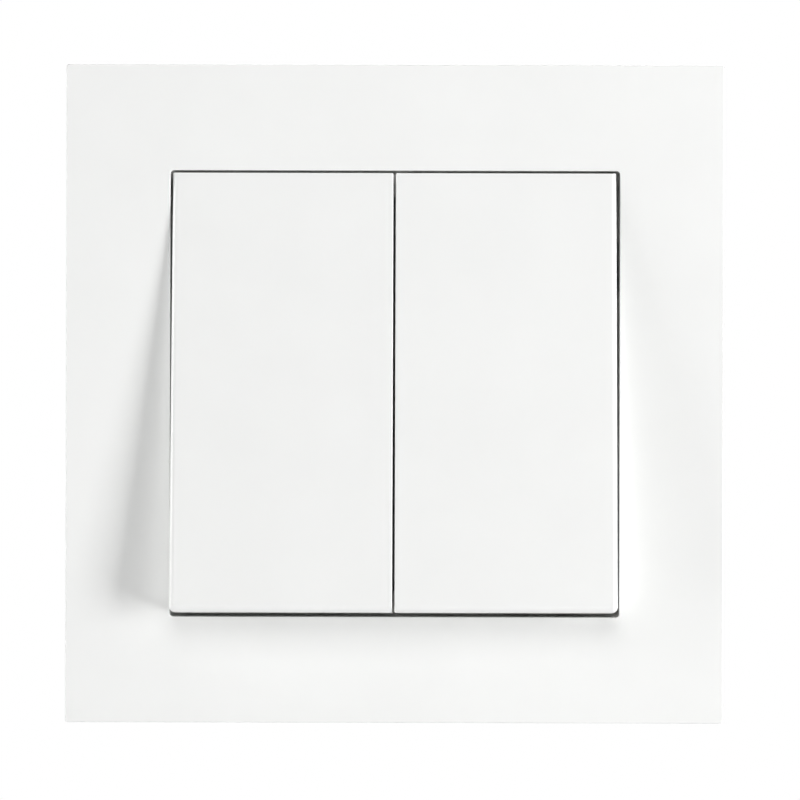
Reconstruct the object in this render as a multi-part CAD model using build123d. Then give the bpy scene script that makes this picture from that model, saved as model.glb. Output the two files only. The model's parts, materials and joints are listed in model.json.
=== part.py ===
from build123d import *
import os
from math import cos, radians, sin, sqrt

# A flush-mounted double light switch with push-in terminals.
# X runs to the right, Z runs up and the wall is the plane Y = 0. The front faces -Y.
# "Out" is a distance in front of the wall and "deep" is a distance behind it.
# Sizes are in millimetres and angles in degrees.

# Cover frame
frame_side = 81.0
frame_depth = 9.0
frame_wall = 2.0
frame_front_wall = 2.2
frame_draft = 0.6
frame_corner_radius = 0.75
frame_edge_radius = 0.5
opening_width = 55.2
opening_height = 54.8
opening_corner_radius = 0.5
opening_edge_radius = 0.25
collar_wall = 1.5
collar_clearance = 0.3
frame_rib = 1.0
frame_rib_depth = 2.6
frame_rib_pitch = 7.5

# Rockers
rocker_side_gap = 0.35
rocker_middle_gap = 0.2
rocker_end_gap = 0.4
rocker_tilt = 5.0
rocker_front_wall = 1.8
rocker_skirt_wall = 1.2
rocker_corner_radius = 0.6
rocker_edge_radius = 0.5
rocker_headroom = 0.6
rocker_rib = 1.2
rocker_rib_offset = 6.0
skirt_clearance = 1.3
hook_place = 8.4
hook_width = 5.0
hook_wall = 1.2
hook_barb = 0.6
hook_length = 1.3
hook_clearance = 0.15
hook_flex = 0.9

# Cradles that carry the rockers
trunnion_radius = 1.0
bearing_clearance = 0.1
cradle_crown = 0.8
cradle_wall = 1.8
cradle_half_height = 12.0
cradle_corner_radius = 1.5
cradle_side_clearance = 0.2
cradle_rail = 1.6
cradle_rail_half_height = 3.0
cradle_rail_drop = 0.6
tube_radius = 3.2
tube_gusset = 1.2
tube_gusset_reach = 3.0
bore_floor = 1.0

# Plungers and their springs
plunger_radius = 1.7
plunger_clearance = 0.15
plunger_length = 7.85
plunger_reach = 4.0
plunger_gap = 0.05
spring_wire_radius = 0.2
spring_coils = 5
spring_wire_sides = 6
spring_clearance = 0.1

# Mechanism cover
cover_flange = 1.2
cover_corner_radius = 2.0
skirt_room = 1.2
cheek_wall = 1.6
cheek_cap = 0.9
cheek_foot = 1.4
window_clearance = 0.6
latch_place = 16.0
latch_width = 6.0
latch_wall = 1.2
latch_barb = 0.7
latch_barb_height = 1.0
latch_clearance = 0.3
catch_depth = 1.0

# Support plate
plate_clearance = 3.0
plate_thickness = 1.2
plate_corner = 9.0
plate_corner_radius = 2.0
box_screw_spacing = 60.0
box_screw_hole = 3.6
plate_window_rim = 2.4
plate_window_radius = 2.0
plate_screw_margin = 3.2
bead_length = 10.0
bead_width = 2.6
bead_rise = 0.6
bead_wall = 0.6
bead_margin = 3.6

# Mechanism base
base_side = 42.0
base_depth = 24.0
base_wall = 1.6
base_floor = 2.0
base_corner = 6.0
base_corner_radius = 1.5
base_draft = 0.5
base_edge = 0.8
chamber_width = 5.2
chamber_wall = 1.0
chamber_gap = 0.2
load_gap = 2.2
support_wall = 1.2
recess_depth = 0.8
recess_margin = 1.5
recess_side_margin = 3.0
recess_radius = 1.0
recess_rib = 1.0
recess_rib_offset = 6.0

# Housing screws
screw_inset = 1.8
screw_boss_radius = 2.5
screw_radius = 1.0
screw_clearance = 0.3
screw_thread_clearance = 0.05
screw_depth = 8.0
screw_head_radius = 2.2
screw_head_height = 1.5
screw_slot_width = 0.6
screw_slot_depth = 0.7

# Contact levers and rivets
lever_offset = 11.0
lever_axis_deep = 7.9
lever_tilt = 8.5
lever_thickness = 1.0
lever_width = 6.0
lever_top = 7.0
lever_end = 2.0
lever_end_clearance = 0.7
lever_corner_radius = 1.8
lever_ear_wall = 0.8
lever_ear_height = 2.5
lever_ear_half_length = 2.6
fulcrum_clearance = 0.05
tip_radius = 1.5
tip_thickness = 0.8
tip_shank_radius = 0.8
tip_shank_clearance = 0.03
tip_head_radius = 1.2
tip_head_height = 0.4
contact_gap = 0.1
fixed_tip_dome = 4.0

# Brass strips
strip_thickness = 0.8
strip_bend_radius = 0.8
strip_end_clearance = 0.2
tongue_height = 3.0
tongue_width = 4.0
busbar_neck_width = 8.0
busbar_arm_half_height = 2.5
busbar_arm_end = 2.5
tab_floor_clearance = 0.3

# Push-in terminals
wire_hole = 2.6
wire_hole_radius = 0.5
wire_end_margin = 0.6
wire_funnel_taper = 35.0
clamp_thickness = 0.4
clamp_clearance = 0.1
clamp_side_room = 0.4
clamp_bend_radius = 0.7
clamp_bend_deep = 20.5
clamp_tip_rise = 2.0
clamp_tip_clearance = 0.15
key_width = 2.4
key_height = 2.0
key_shoulder = 0.8
key_web = 0.25
key_clearance = 0.15
key_proud = 1.6
key_place = 1.8
key_nose_clearance = 0.2

# Sizes that follow from the ones above
tilt = radians(rocker_tilt)
rocker_width = (opening_width - 2 * rocker_side_gap - rocker_middle_gap) / 2
rocker_height = opening_height - 2 * rocker_end_gap
rocker_centre = (rocker_middle_gap + rocker_width) / 2
cheek_radius = trunnion_radius + bearing_clearance + cheek_cap
pivot_depth = rocker_front_wall + rocker_headroom + cheek_radius
# The pressed end of a rocker lies level with the face of the frame.
pivot_out = frame_depth - pivot_depth * cos(tilt) + rocker_height / 2 * sin(tilt)
rocker_face_out = pivot_out + pivot_depth
rocker_inner_out = rocker_face_out - rocker_front_wall
# The skirt of the pressed end stops short of the support plate.
skirt_behind_pivot = (
    pivot_out - plate_thickness - skirt_clearance - rocker_height / 2 * sin(tilt)
) / cos(tilt)
skirt_out = pivot_out - skirt_behind_pivot
plate_side = frame_side - 2 * (frame_wall + plate_clearance)
flange_out = plate_thickness + cover_flange
cover_half_width = rocker_centre + rocker_width / 2 - rocker_skirt_wall - skirt_room
cover_half_height = rocker_height / 2 - rocker_skirt_wall - skirt_room
cheek_offset = rocker_width / 2 - rocker_skirt_wall - skirt_room - cheek_wall / 2
cradle_half_width = cheek_offset - cheek_wall / 2 - cradle_side_clearance
cradle_front_out = pivot_out + trunnion_radius + cradle_crown
cradle_back_out = cradle_front_out - cradle_wall
rail_back_out = pivot_out - trunnion_radius - cradle_rail_drop
tip_out = -(lever_axis_deep - lever_thickness - plunger_gap)
tube_end_out = tip_out + plunger_reach
bore_radius = plunger_radius + plunger_clearance
bore_end_out = cradle_front_out - bore_floor
plunger_back_out = tip_out + plunger_length
screw_place = (base_side - base_corner) / 2 - screw_inset
base_inner = base_side / 2 - base_wall
base_floor_out = -(base_depth - base_floor)
tab_inner = base_inner - strip_end_clearance - strip_thickness
tab_middle = tab_inner + strip_thickness / 2
chamber_inner = tab_inner - chamber_width
# The two load terminals share the room between the lower screw bosses.
chamber_end = screw_place - screw_boss_radius - chamber_gap
chamber_half_length = (chamber_end - load_gap / 2) / 2
load_centre = chamber_end - chamber_half_length
strip_deep = lever_axis_deep + tongue_height
strip_back_out = -(strip_deep + strip_thickness)
strip_middle_deep = strip_deep + strip_thickness / 2
contact_arm = chamber_inner - chamber_wall - lever_end_clearance - lever_end
wire_place = tab_inner - wire_hole / 2
key_centre = tab_inner - key_place
# The two wire funnels of a terminal take the room between its key and its ends.
funnel_end = chamber_half_length - wire_end_margin
funnel_side = funnel_end - key_web - key_clearance - key_width / 2
wire_funnel = (funnel_side - wire_hole) / 2
wire_pitch = 2 * funnel_end - funnel_side
clamp_width = 2 * (chamber_half_length - clamp_side_room) - wire_pitch
key_body_width = key_width + 2 * key_shoulder


def slab(outline, start, end, taper=0.0):
    """An outline on the wall plane, carried from one distance in front of the wall to another."""
    return extrude(Plane.XZ.offset(start) * outline, end - start, taper=taper)


def across(profile, middle, width):
    """A side profile drawn in Y and Z, carried along X to both sides of its middle."""
    return extrude(Plane.YZ.offset(middle - width / 2) * profile, width)


def side_face(points):
    """A side profile from corners given as a distance out and a height."""
    return make_face(Polyline(*[(-out, up) for out, up in points], close=True))


def rod(radius, out, up, start, end):
    """A round bar along X."""
    return extrude(Plane.YZ.offset(start) * Pos(-out, up) * Circle(radius), end - start)


def corner_places(across_x, across_z):
    """The four corners of a rectangle centred on the switch."""
    return [Pos(x, z) for x in (-across_x, across_x) for z in (-across_z, across_z)]


def in_rest_pose(piece, angle, out):
    """The piece turned about its level axis at the given distance out."""
    return piece.rotate(Axis((0, -out, 0), (1, 0, 0)), angle)


def to_left(piece):
    """The left-hand twin of a right-hand piece."""
    return mirror(piece, about=Plane.YZ)


def cover_frame():
    """The square cover frame: a drafted shell with a collar round the opening, ribs and catches."""
    outline = RectangleRounded(frame_side, frame_side, frame_corner_radius)
    frame = slab(outline, 0, frame_depth, frame_draft)
    frame = fillet(frame.faces().sort_by(Axis.Y)[0].edges(), frame_edge_radius)
    hollow_side = frame_side - 2 * frame_wall
    hollow_out = frame_depth - frame_front_wall
    frame -= slab(Rectangle(hollow_side, hollow_side), 0, hollow_out)

    collar_width = opening_width + 2 * collar_wall
    collar_height = opening_height + 2 * collar_wall
    collar_radius = opening_corner_radius + collar_wall
    collar_out = flange_out + collar_clearance
    collar = RectangleRounded(collar_width, collar_height, collar_radius)
    frame += slab(collar, collar_out, hollow_out)

    # Ribs tie the collar to the outer wall on both sides of each latch.
    ribs = Sketch()
    for place in (latch_place - frame_rib_pitch, latch_place + frame_rib_pitch):
        for side in (-place, place):
            ribs += Pos(0, side) * Rectangle(hollow_side, frame_rib)
            ribs += Pos(side, 0) * Rectangle(frame_rib, hollow_side)
    ribs -= collar
    frame += slab(ribs, hollow_out - frame_rib_depth, hollow_out)

    # Catches on the collar hold the frame behind the barbs of the latches.
    catches = Sketch()
    for place in corner_places(collar_width / 2, latch_place):
        catches += place * Rectangle(2 * latch_barb, latch_width)
    frame += slab(catches, collar_out, collar_out + catch_depth)

    opening = RectangleRounded(opening_width, opening_height, opening_corner_radius)
    frame -= slab(opening, 0, frame_depth)
    rim = frame.faces().sort_by(Axis.Y)[0].inner_wires()[0]
    return fillet(rim.edges(), opening_edge_radius)


def right_rocker():
    """A rocker cap: a shell with a soft front edge, ribs that rest on the cradle, and two hooks."""
    outline = RectangleRounded(rocker_width, rocker_height, rocker_corner_radius)
    cap = slab(Pos(rocker_centre, 0) * outline, skirt_out, rocker_face_out)
    cap = fillet(cap.faces().sort_by(Axis.Y)[0].edges(), rocker_edge_radius)
    hollow_width = rocker_width - 2 * rocker_skirt_wall
    hollow_height = rocker_height - 2 * rocker_skirt_wall
    hollow = Pos(rocker_centre, 0) * Rectangle(hollow_width, hollow_height)
    cap -= slab(hollow, skirt_out, rocker_inner_out)

    for side in (-rocker_rib_offset, rocker_rib_offset):
        rib = Pos(rocker_centre + side, 0) * Rectangle(rocker_rib, 2 * cradle_half_height)
        cap += slab(rib, cradle_front_out, rocker_inner_out)

    barb_out = cradle_back_out - hook_clearance
    hook = side_face(
        [
            (rocker_inner_out, hook_place),
            (rocker_inner_out, hook_place + hook_wall),
            (barb_out, hook_place + hook_wall),
            (barb_out, hook_place + hook_wall + hook_barb),
            (barb_out - hook_length, hook_place + hook_wall),
            (barb_out - hook_length, hook_place),
        ]
    )
    hook = across(hook, rocker_centre, hook_width)
    cap += hook
    cap += mirror(hook, about=Plane.XY)
    return in_rest_pose(cap, -rocker_tilt, pivot_out)


def right_cradle():
    """The carrier under a rocker: a plate with trunnions, hook slots and the plunger's tube."""
    plate = Pos(rocker_centre, 0) * RectangleRounded(
        2 * cradle_half_width, 2 * cradle_half_height, cradle_corner_radius
    )
    slot_start = hook_place - hook_flex
    slot_end = hook_place + hook_wall + hook_clearance
    slot = Rectangle(hook_width + 2 * hook_clearance, slot_end - slot_start)
    for side in (-1, 1):
        plate -= Pos(rocker_centre, side * (slot_start + slot_end) / 2) * slot
    cradle = slab(plate, cradle_back_out, cradle_front_out)

    trunnion_length = cradle_side_clearance + cheek_wall
    for side in (-1, 1):
        rail_middle = rocker_centre + side * (cradle_half_width - cradle_rail / 2)
        rail = Pos(rail_middle, 0) * Rectangle(cradle_rail, 2 * cradle_rail_half_height)
        cradle += slab(rail, rail_back_out, cradle_back_out)
        root = rocker_centre + side * (cradle_half_width - cradle_rail)
        end = rocker_centre + side * (cradle_half_width + trunnion_length)
        cradle += rod(trunnion_radius, pivot_out, 0, root, end)

    tube = Pos(lever_offset, 0) * Circle(tube_radius)
    cradle += slab(tube, tube_end_out, cradle_back_out)
    gusset_length = 2 * (tube_radius + tube_gusset_reach)
    gussets = Pos(lever_offset, 0) * Rectangle(tube_gusset, gusset_length)
    cradle += slab(gussets, rail_back_out, cradle_back_out)
    bore = Pos(lever_offset, 0) * Circle(bore_radius)
    cradle -= slab(bore, tube_end_out, bore_end_out)
    return in_rest_pose(cradle, -rocker_tilt, pivot_out)


def right_plunger():
    """A round-nosed pin that slides in the cradle's tube."""
    shank = Pos(lever_offset, 0) * Circle(plunger_radius)
    plunger = slab(shank, tip_out + plunger_radius, plunger_back_out)
    plunger += Pos(lever_offset, -(tip_out + plunger_radius), 0) * Sphere(plunger_radius)
    return in_rest_pose(plunger, -rocker_tilt, pivot_out)


def plunger_spring(side):
    """The coil spring between the bore's end and the plunger."""
    start = plunger_back_out + spring_clearance + spring_wire_radius
    end = bore_end_out - spring_clearance - spring_wire_radius
    radius = bore_radius - spring_clearance - spring_wire_radius
    length = end - start
    centre = (side * lever_offset, -start, 0)
    path = Helix(length / spring_coils, length, radius, centre, (0, -1, 0))
    # A few flats round the wire keep the coil's mesh light.
    section = RegularPolygon(spring_wire_radius, spring_wire_sides)
    wire = Plane(origin=path @ 0, z_dir=path % 0) * section
    return in_rest_pose(sweep(wire, path=path, is_frenet=True), -rocker_tilt, pivot_out)


def mechanism_cover():
    """The insert's front: a flange with the bearing cheeks, tube windows and frame latches."""
    flange = RectangleRounded(2 * cover_half_width, 2 * cover_half_height, cover_corner_radius)
    latch_inner = opening_width / 2 + collar_wall + latch_barb + latch_clearance
    latch_outer = latch_inner + latch_wall
    for side in (-latch_place, latch_place):
        flange += Pos(0, side) * Rectangle(2 * latch_outer, latch_width)
    swing = (pivot_out - plate_thickness) * sin(tilt)
    window = Rectangle(
        2 * (tube_radius + window_clearance),
        2 * (tube_radius + swing + window_clearance),
    )
    for side in (-lever_offset, lever_offset):
        flange -= Pos(side, 0) * window
    for place in corner_places(screw_place, screw_place):
        flange -= place * Circle(screw_radius + screw_clearance)
    cover = slab(flange, plate_thickness, flange_out)

    foot = cheek_radius + cheek_foot
    cheek = side_face(
        [
            (flange_out, -foot),
            (flange_out, foot),
            (pivot_out, cheek_radius),
            (pivot_out, -cheek_radius),
        ]
    )
    cheek += Pos(-pivot_out, 0) * Circle(cheek_radius)
    cheek -= Pos(-pivot_out, 0) * Circle(trunnion_radius + bearing_clearance)
    for middle in (-rocker_centre, rocker_centre):
        for side in (-cheek_offset, cheek_offset):
            cover += across(cheek, middle + side, cheek_wall)

    # Each latch is a springy arm whose barb sits in front of a catch on the frame's collar.
    barb_out = flange_out + collar_clearance + catch_depth + latch_clearance
    latch = make_face(
        Polyline(
            (latch_outer, -plate_thickness),
            (latch_outer, -(barb_out + latch_barb_height)),
            (latch_inner, -(barb_out + latch_barb_height)),
            (latch_inner - latch_barb, -barb_out),
            (latch_inner, -barb_out),
            (latch_inner, -plate_thickness),
            close=True,
        )
    )
    for side in (-latch_place, latch_place):
        arm = extrude(Plane.XY.offset(side - latch_width / 2) * latch, latch_width)
        cover += arm
        cover += to_left(arm)
    return cover


def support_plate():
    """The steel plate on the wall, with holes for the screws of a wall box and pressed beads."""
    outline = chamfer(Rectangle(plate_side, plate_side).vertices(), plate_corner)
    outline = fillet(outline.vertices(), plate_corner_radius)
    window_half_width = base_inner - plate_window_rim
    window_half_height = screw_place - plate_screw_margin
    outline -= RectangleRounded(2 * window_half_width, 2 * window_half_height, plate_window_radius)
    for side in (-box_screw_spacing / 2, box_screw_spacing / 2):
        outline -= Pos(side, 0) * Circle(box_screw_hole / 2)
        outline -= Pos(0, side) * Circle(box_screw_hole / 2)
    for place in corner_places(screw_place, screw_place):
        outline -= place * Circle(screw_radius + screw_clearance)
    plate = slab(outline, 0, plate_thickness)

    # A stiffening bead is pressed forward inside each cut corner, which leaves a groove behind it.
    bead_place = (plate_side - plate_corner) / sqrt(2) - bead_margin - bead_width / 2
    ridge = SlotOverall(bead_length, bead_width)
    groove = SlotOverall(bead_length - 2 * bead_wall, bead_width - 2 * bead_wall)
    for turn in (45, 135, 225, 315):
        place = Rot(0, 0, turn) * Pos(0, bead_place)
        plate += slab(place * ridge, plate_thickness, plate_thickness + bead_rise)
        plate -= slab(place * groove, 0, bead_rise)
    return plate


def housing_screws():
    """Four slotted screws from the cover through the plate into the base."""
    screws = Part()
    for place in corner_places(screw_place, screw_place):
        head_out = flange_out + screw_head_height
        screws += slab(place * Circle(screw_radius), -screw_depth, flange_out)
        head = slab(place * Circle(screw_head_radius), flange_out, head_out)
        slot = place * Rectangle(2 * screw_head_radius, screw_slot_width)
        screws += head - slab(slot, head_out - screw_slot_depth, head_out)
    return screws


def terminals():
    """The three push-in terminals as the middle of each in X and its side, up or down, in Z."""
    return {"common": (0, 1), "left": (-load_centre, -1), "right": (load_centre, -1)}


def mechanism_base():
    """The moulded box in the wall, with terminal chambers, strip supports and screw bosses."""
    outline = chamfer(Rectangle(base_side, base_side).vertices(), base_corner)
    outline = fillet(outline.vertices(), base_corner_radius)
    base = slab(outline, 0, -base_depth, base_draft)
    base = chamfer(base.faces().sort_by(Axis.Y)[-1].edges(), base_edge)
    inner_corner = base_corner - base_wall
    hollow = chamfer(Rectangle(2 * base_inner, 2 * base_inner).vertices(), inner_corner)
    base -= slab(hollow, base_floor_out, 0)

    bosses = Sketch()
    for place in corner_places(screw_place, screw_place):
        bosses += place * Circle(screw_boss_radius)
    base += slab(bosses, base_floor_out, 0)
    for place in corner_places(screw_place, screw_place):
        pilot = place * Circle(screw_radius + screw_thread_clearance)
        base -= slab(pilot, -(screw_depth + screw_clearance), 0)

    # Walls stand on the floor up to the back of the brass strips.
    walls = Sketch()
    wall_middle = chamber_inner - chamber_wall / 2
    for middle, side in terminals().values():
        walls += Pos(middle, side * wall_middle) * Rectangle(2 * chamber_half_length, chamber_wall)
    neck_length = chamber_inner + busbar_arm_half_height
    walls += Pos(0, chamber_inner - neck_length / 2) * Rectangle(support_wall, neck_length)
    for side in (-lever_offset, lever_offset):
        walls += Pos(side, 0) * Rectangle(support_wall, 2 * busbar_arm_half_height)
        end = contact_arm - tip_radius - support_wall
        walls += Pos(side, -end) * Rectangle(lever_width, support_wall)
    base += slab(walls, base_floor_out, strip_back_out)

    # Wire entries with funnels, and a slot for each release key.
    for middle, side in terminals().values():
        for wire in (-wire_pitch / 2, wire_pitch / 2):
            place = Pos(middle + wire, side * wire_place)
            hole = RectangleRounded(wire_hole, wire_hole, wire_hole_radius)
            base -= slab(place * hole, -base_depth, base_floor_out)
            funnel = RectangleRounded(funnel_side, funnel_side, wire_funnel + wire_hole_radius)
            base -= slab(place * funnel, -base_depth, -base_depth + wire_funnel, wire_funnel_taper)
        slot = Rectangle(key_width + 2 * key_clearance, key_height + 2 * key_clearance)
        base -= slab(Pos(middle, side * key_centre) * slot, -base_depth, base_floor_out)

    # Ribs part the shallow recess between the upper and the lower terminals.
    recess_width = base_side - 2 * recess_side_margin
    recess_height = 2 * (wire_place - recess_margin) - funnel_side
    recess = RectangleRounded(recess_width, recess_height, recess_radius)
    recess -= Rectangle(recess_width, recess_rib)
    for middle in (-recess_rib_offset, recess_rib_offset):
        recess -= Pos(middle, 0) * Rectangle(recess_rib, recess_height)
    return base - slab(recess, -base_depth, -base_depth + recess_depth)


def strip_with_tab(middle, side, start):
    """A brass strip from a height to its terminal, where a tab bends back along the base's wall."""
    tab_end = base_depth - base_floor - tab_floor_clearance
    corner = (strip_middle_deep, side * tab_middle)
    path = FilletPolyline(
        (strip_middle_deep, side * start),
        corner,
        (tab_end, side * tab_middle),
        radius=strip_bend_radius,
    )
    width = 2 * (chamber_half_length - strip_end_clearance)
    return across(trace(path, strip_thickness), middle, width)


def common_busbar():
    """The feed strip: a terminal tab, a neck, and an arm with a fulcrum tongue for each lever."""
    neck = chamber_inner - chamber_wall
    busbar = strip_with_tab(0, 1, neck)
    arm_length = 2 * (lever_offset + busbar_arm_end)
    flat = Rectangle(arm_length, 2 * busbar_arm_half_height)
    flat += Pos(0, neck / 2) * Rectangle(busbar_neck_width, neck)
    busbar += slab(flat, strip_back_out, -strip_deep)
    for middle in (-lever_offset, lever_offset):
        tongue = Pos(middle, 0) * Rectangle(tongue_width, strip_thickness)
        busbar += slab(tongue, -strip_deep, -lever_axis_deep)
        start = middle - tongue_width / 2
        busbar += rod(strip_thickness / 2, -lever_axis_deep, 0, start, start + tongue_width)
    return busbar


def moving_tip_face():
    """Where the middle of a moving tip's face lies at rest, as a depth and a height."""
    angle = radians(lever_tilt)
    deep = lever_axis_deep + tip_thickness * cos(angle) + contact_arm * sin(angle)
    return deep, tip_thickness * sin(angle) - contact_arm * cos(angle)


def right_load_strip():
    """The strip that carries a fixed contact and runs to its load terminal."""
    start = chamber_inner - chamber_wall
    strip = strip_with_tab(load_centre, -1, start)
    end = contact_arm - tip_radius - support_wall
    middle = (start + end) / 2
    arm = Pos(lever_offset, -middle) * Rectangle(lever_width, start - end + support_wall)
    arm = slab(arm, strip_back_out, -strip_deep)
    tip_height = moving_tip_face()[1]
    hole = Pos(lever_offset, tip_height) * Circle(tip_shank_radius + tip_shank_clearance)
    return strip + arm - slab(hole, strip_back_out, -strip_deep)


def right_fixed_tip():
    """A domed contact rivet in the load strip."""
    face_deep, tip_height = moving_tip_face()
    top = -(face_deep + contact_gap)
    place = Pos(lever_offset, tip_height)
    button = slab(place * Circle(tip_radius), -strip_deep, top)
    dome = Pos(lever_offset, -(top - fixed_tip_dome), tip_height) * Sphere(fixed_tip_dome)
    rivet = button & dome
    head_out = strip_back_out - tip_head_height
    rivet += slab(place * Circle(tip_shank_radius), strip_back_out, -strip_deep)
    return rivet + slab(place * Circle(tip_head_radius), head_out, strip_back_out)


def right_contact_lever():
    """A seesaw lever with a groove on the fulcrum tongue and ears that guide the plunger."""
    bottom = contact_arm + lever_end
    front_out = -(lever_axis_deep - lever_thickness)
    outline = Pos(lever_offset, (lever_top - bottom) / 2) * RectangleRounded(
        lever_width, lever_top + bottom, lever_corner_radius
    )
    outline -= Pos(lever_offset, -contact_arm) * Circle(tip_shank_radius + tip_shank_clearance)
    lever = slab(outline, -lever_axis_deep, front_out)
    for side in (-1, 1):
        middle = lever_offset + side * (lever_width - lever_ear_wall) / 2
        ear = Pos(middle, 0) * Rectangle(lever_ear_wall, 2 * lever_ear_half_length)
        lever += slab(ear, front_out, front_out + lever_ear_height)
    groove_radius = strip_thickness / 2 + fulcrum_clearance
    start = lever_offset - lever_width / 2
    lever -= rod(groove_radius, -lever_axis_deep, 0, start, start + lever_width)
    return in_rest_pose(lever, lever_tilt, -lever_axis_deep)


def right_moving_tip():
    """The flat contact rivet at the lower end of a lever."""
    place = Pos(lever_offset, -contact_arm)
    front_out = -(lever_axis_deep - lever_thickness)
    rivet = slab(place * Circle(tip_radius), -(lever_axis_deep + tip_thickness), -lever_axis_deep)
    rivet += slab(place * Circle(tip_shank_radius), -lever_axis_deep, front_out)
    rivet += slab(place * Circle(tip_head_radius), front_out, front_out + tip_head_height)
    return in_rest_pose(rivet, lever_tilt, -lever_axis_deep)


def clamp_line(side):
    """The corners of a clamp spring's path: its foot, its bend and its biting end."""
    foot = chamber_inner + clamp_clearance + clamp_thickness / 2
    tip = tab_inner - clamp_tip_clearance - clamp_thickness / 2
    foot_deep = strip_deep + strip_thickness + clamp_clearance
    tip_deep = foot_deep + clamp_tip_rise
    return (foot_deep, side * foot), (clamp_bend_deep, side * foot), (tip_deep, side * tip)


def clamps(middle, side):
    """The pair of bent spring clamps in a terminal, one for each wire."""
    path = FilletPolyline(*clamp_line(side), radius=clamp_bend_radius)
    profile = trace(path, clamp_thickness)
    return Part() + [
        across(profile, middle + wire, clamp_width) for wire in (-wire_pitch / 2, wire_pitch / 2)
    ]


def release_key(middle, side):
    """A push key between a terminal's two wires: a body behind the clamps and a stem to the back."""
    (_, _), (bend_deep, foot), (tip_deep, tip) = clamp_line(side)
    # The nose stops just behind the clamp's slope, at its own edge nearest the bend.
    edge = key_centre - key_height / 2
    slope = (bend_deep - tip_deep) / abs(tip - foot)
    slope_deep = bend_deep - slope * (edge - abs(foot)) + clamp_thickness
    nose_out = -(slope_deep + key_nose_clearance)
    place = Pos(middle, side * key_centre)
    body_out = base_floor_out + key_clearance
    key = slab(place * Rectangle(key_body_width, key_height), body_out, nose_out)
    stem = place * Rectangle(key_width, key_height)
    return key + slab(stem, -(base_depth + key_proud), body_out)


def make_pieces():
    """Every piece by the name of its node."""
    pieces = {
        "cover_frame": cover_frame(),
        "mechanism_cover": mechanism_cover(),
        "support_plate": support_plate(),
        "mechanism_base": mechanism_base(),
        "housing_screws": housing_screws(),
        "common_busbar": common_busbar(),
        "left_plunger_spring": plunger_spring(-1),
        "right_plunger_spring": plunger_spring(1),
    }
    paired = {
        "rocker": right_rocker(),
        "cradle": right_cradle(),
        "plunger": right_plunger(),
        "contact_lever": right_contact_lever(),
        "moving_tip": right_moving_tip(),
        "load_strip": right_load_strip(),
        "fixed_tip": right_fixed_tip(),
    }
    for name, piece in paired.items():
        pieces["right_" + name] = piece
        pieces["left_" + name] = to_left(piece)
    for name, (middle, side) in terminals().items():
        pieces[name + "_clamps"] = clamps(middle, side)
        pieces[name + "_release_key"] = release_key(middle, side)
    return pieces


os.makedirs("parts", exist_ok=True)
for node, shape in make_pieces().items():
    export_step(shape, os.path.join("parts", node + ".step"))
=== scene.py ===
import json
from math import cos, pi, radians, sin, tan

import bmesh
import bpy
from bpy.props import FloatProperty, FloatVectorProperty, IntProperty, PointerProperty
from mathutils import Matrix, Vector


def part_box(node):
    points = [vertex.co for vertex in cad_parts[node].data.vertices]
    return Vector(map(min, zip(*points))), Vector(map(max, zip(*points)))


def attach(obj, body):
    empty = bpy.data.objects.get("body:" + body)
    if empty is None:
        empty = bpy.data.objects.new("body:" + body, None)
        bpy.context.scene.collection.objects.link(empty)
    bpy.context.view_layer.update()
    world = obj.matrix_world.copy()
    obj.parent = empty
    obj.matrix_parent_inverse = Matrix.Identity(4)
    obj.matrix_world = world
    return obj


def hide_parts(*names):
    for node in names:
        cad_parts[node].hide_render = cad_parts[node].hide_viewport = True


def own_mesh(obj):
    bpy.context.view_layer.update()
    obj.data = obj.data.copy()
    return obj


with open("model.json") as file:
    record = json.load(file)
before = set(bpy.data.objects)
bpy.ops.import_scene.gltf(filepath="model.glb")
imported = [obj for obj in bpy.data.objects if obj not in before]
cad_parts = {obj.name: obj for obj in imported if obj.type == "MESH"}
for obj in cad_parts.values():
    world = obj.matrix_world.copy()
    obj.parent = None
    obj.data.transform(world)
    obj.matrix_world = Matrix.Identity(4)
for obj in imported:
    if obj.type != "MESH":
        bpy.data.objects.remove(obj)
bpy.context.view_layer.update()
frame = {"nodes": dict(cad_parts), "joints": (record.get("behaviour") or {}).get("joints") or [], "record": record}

bl_info = {
    "name": "Double Light Switch",
    "version": (1, 0, 0),
    "blender": (4, 5, 0),
    "location": "View3D > Sidebar > Light Switch",
    "description": "Models and finishes a flush-mounted double light switch on its CAD frame",
    "category": "Add Mesh",
}

# X runs to the right, Z runs up and the wall is the plane Y = 0. The front faces -Y.
# "Out" is a distance in front of the wall. Lengths are in metres.
MM = 0.001
FRAME_LOW, FRAME_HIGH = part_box("cover_frame")
ROCKER_LOW, ROCKER_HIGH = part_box("right_rocker")
PLATE_LOW, PLATE_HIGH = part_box("support_plate")
BASE_LOW, BASE_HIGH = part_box("mechanism_base")
KEY_LOW, KEY_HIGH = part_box("common_release_key")
JOINTS = {joint["name"]: joint for joint in frame["joints"]}
ROCKER_PIVOT = Vector(JOINTS["right_rocker_tilt"]["pos_m"])
ROCKER_TRAVEL = JOINTS["right_rocker_tilt"]["range_deg"][1]
REST_TILT = radians(-ROCKER_TRAVEL / 2)
MERGE_DISTANCE = 0.001 * MM
SAME_PLACE = 5 * MERGE_DISTANCE
SMOOTH_ANGLE = radians(35)
SHARP_ANGLE = radians(40)
FLAT_FACE_WEIGHT = 100
# Steps of rounded corners, edges, bends and coils, and sides of round pieces.
CORNER_STEPS = 6
EDGE_STEPS = 5
SMALL_EDGE_STEPS = 4
BEND_STEPS = 8
COIL_STEPS = 32
ROD_SIDES = 32
WIRE_SIDES = 10
FLOOR_SIDES = 96
CORNER_TURNS = (pi / 4, 3 * pi / 4, 5 * pi / 4, 7 * pi / 4)
# How far a tool reaches into or past the piece that it is joined to or cut from.
BITE = 0.2 * MM
KEY_SHOULDER_DEEP = 21.85 * MM
# Width of a key's dish at its bottom, as a share of its width at the rim.
DISH_TAPER = 0.8


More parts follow.
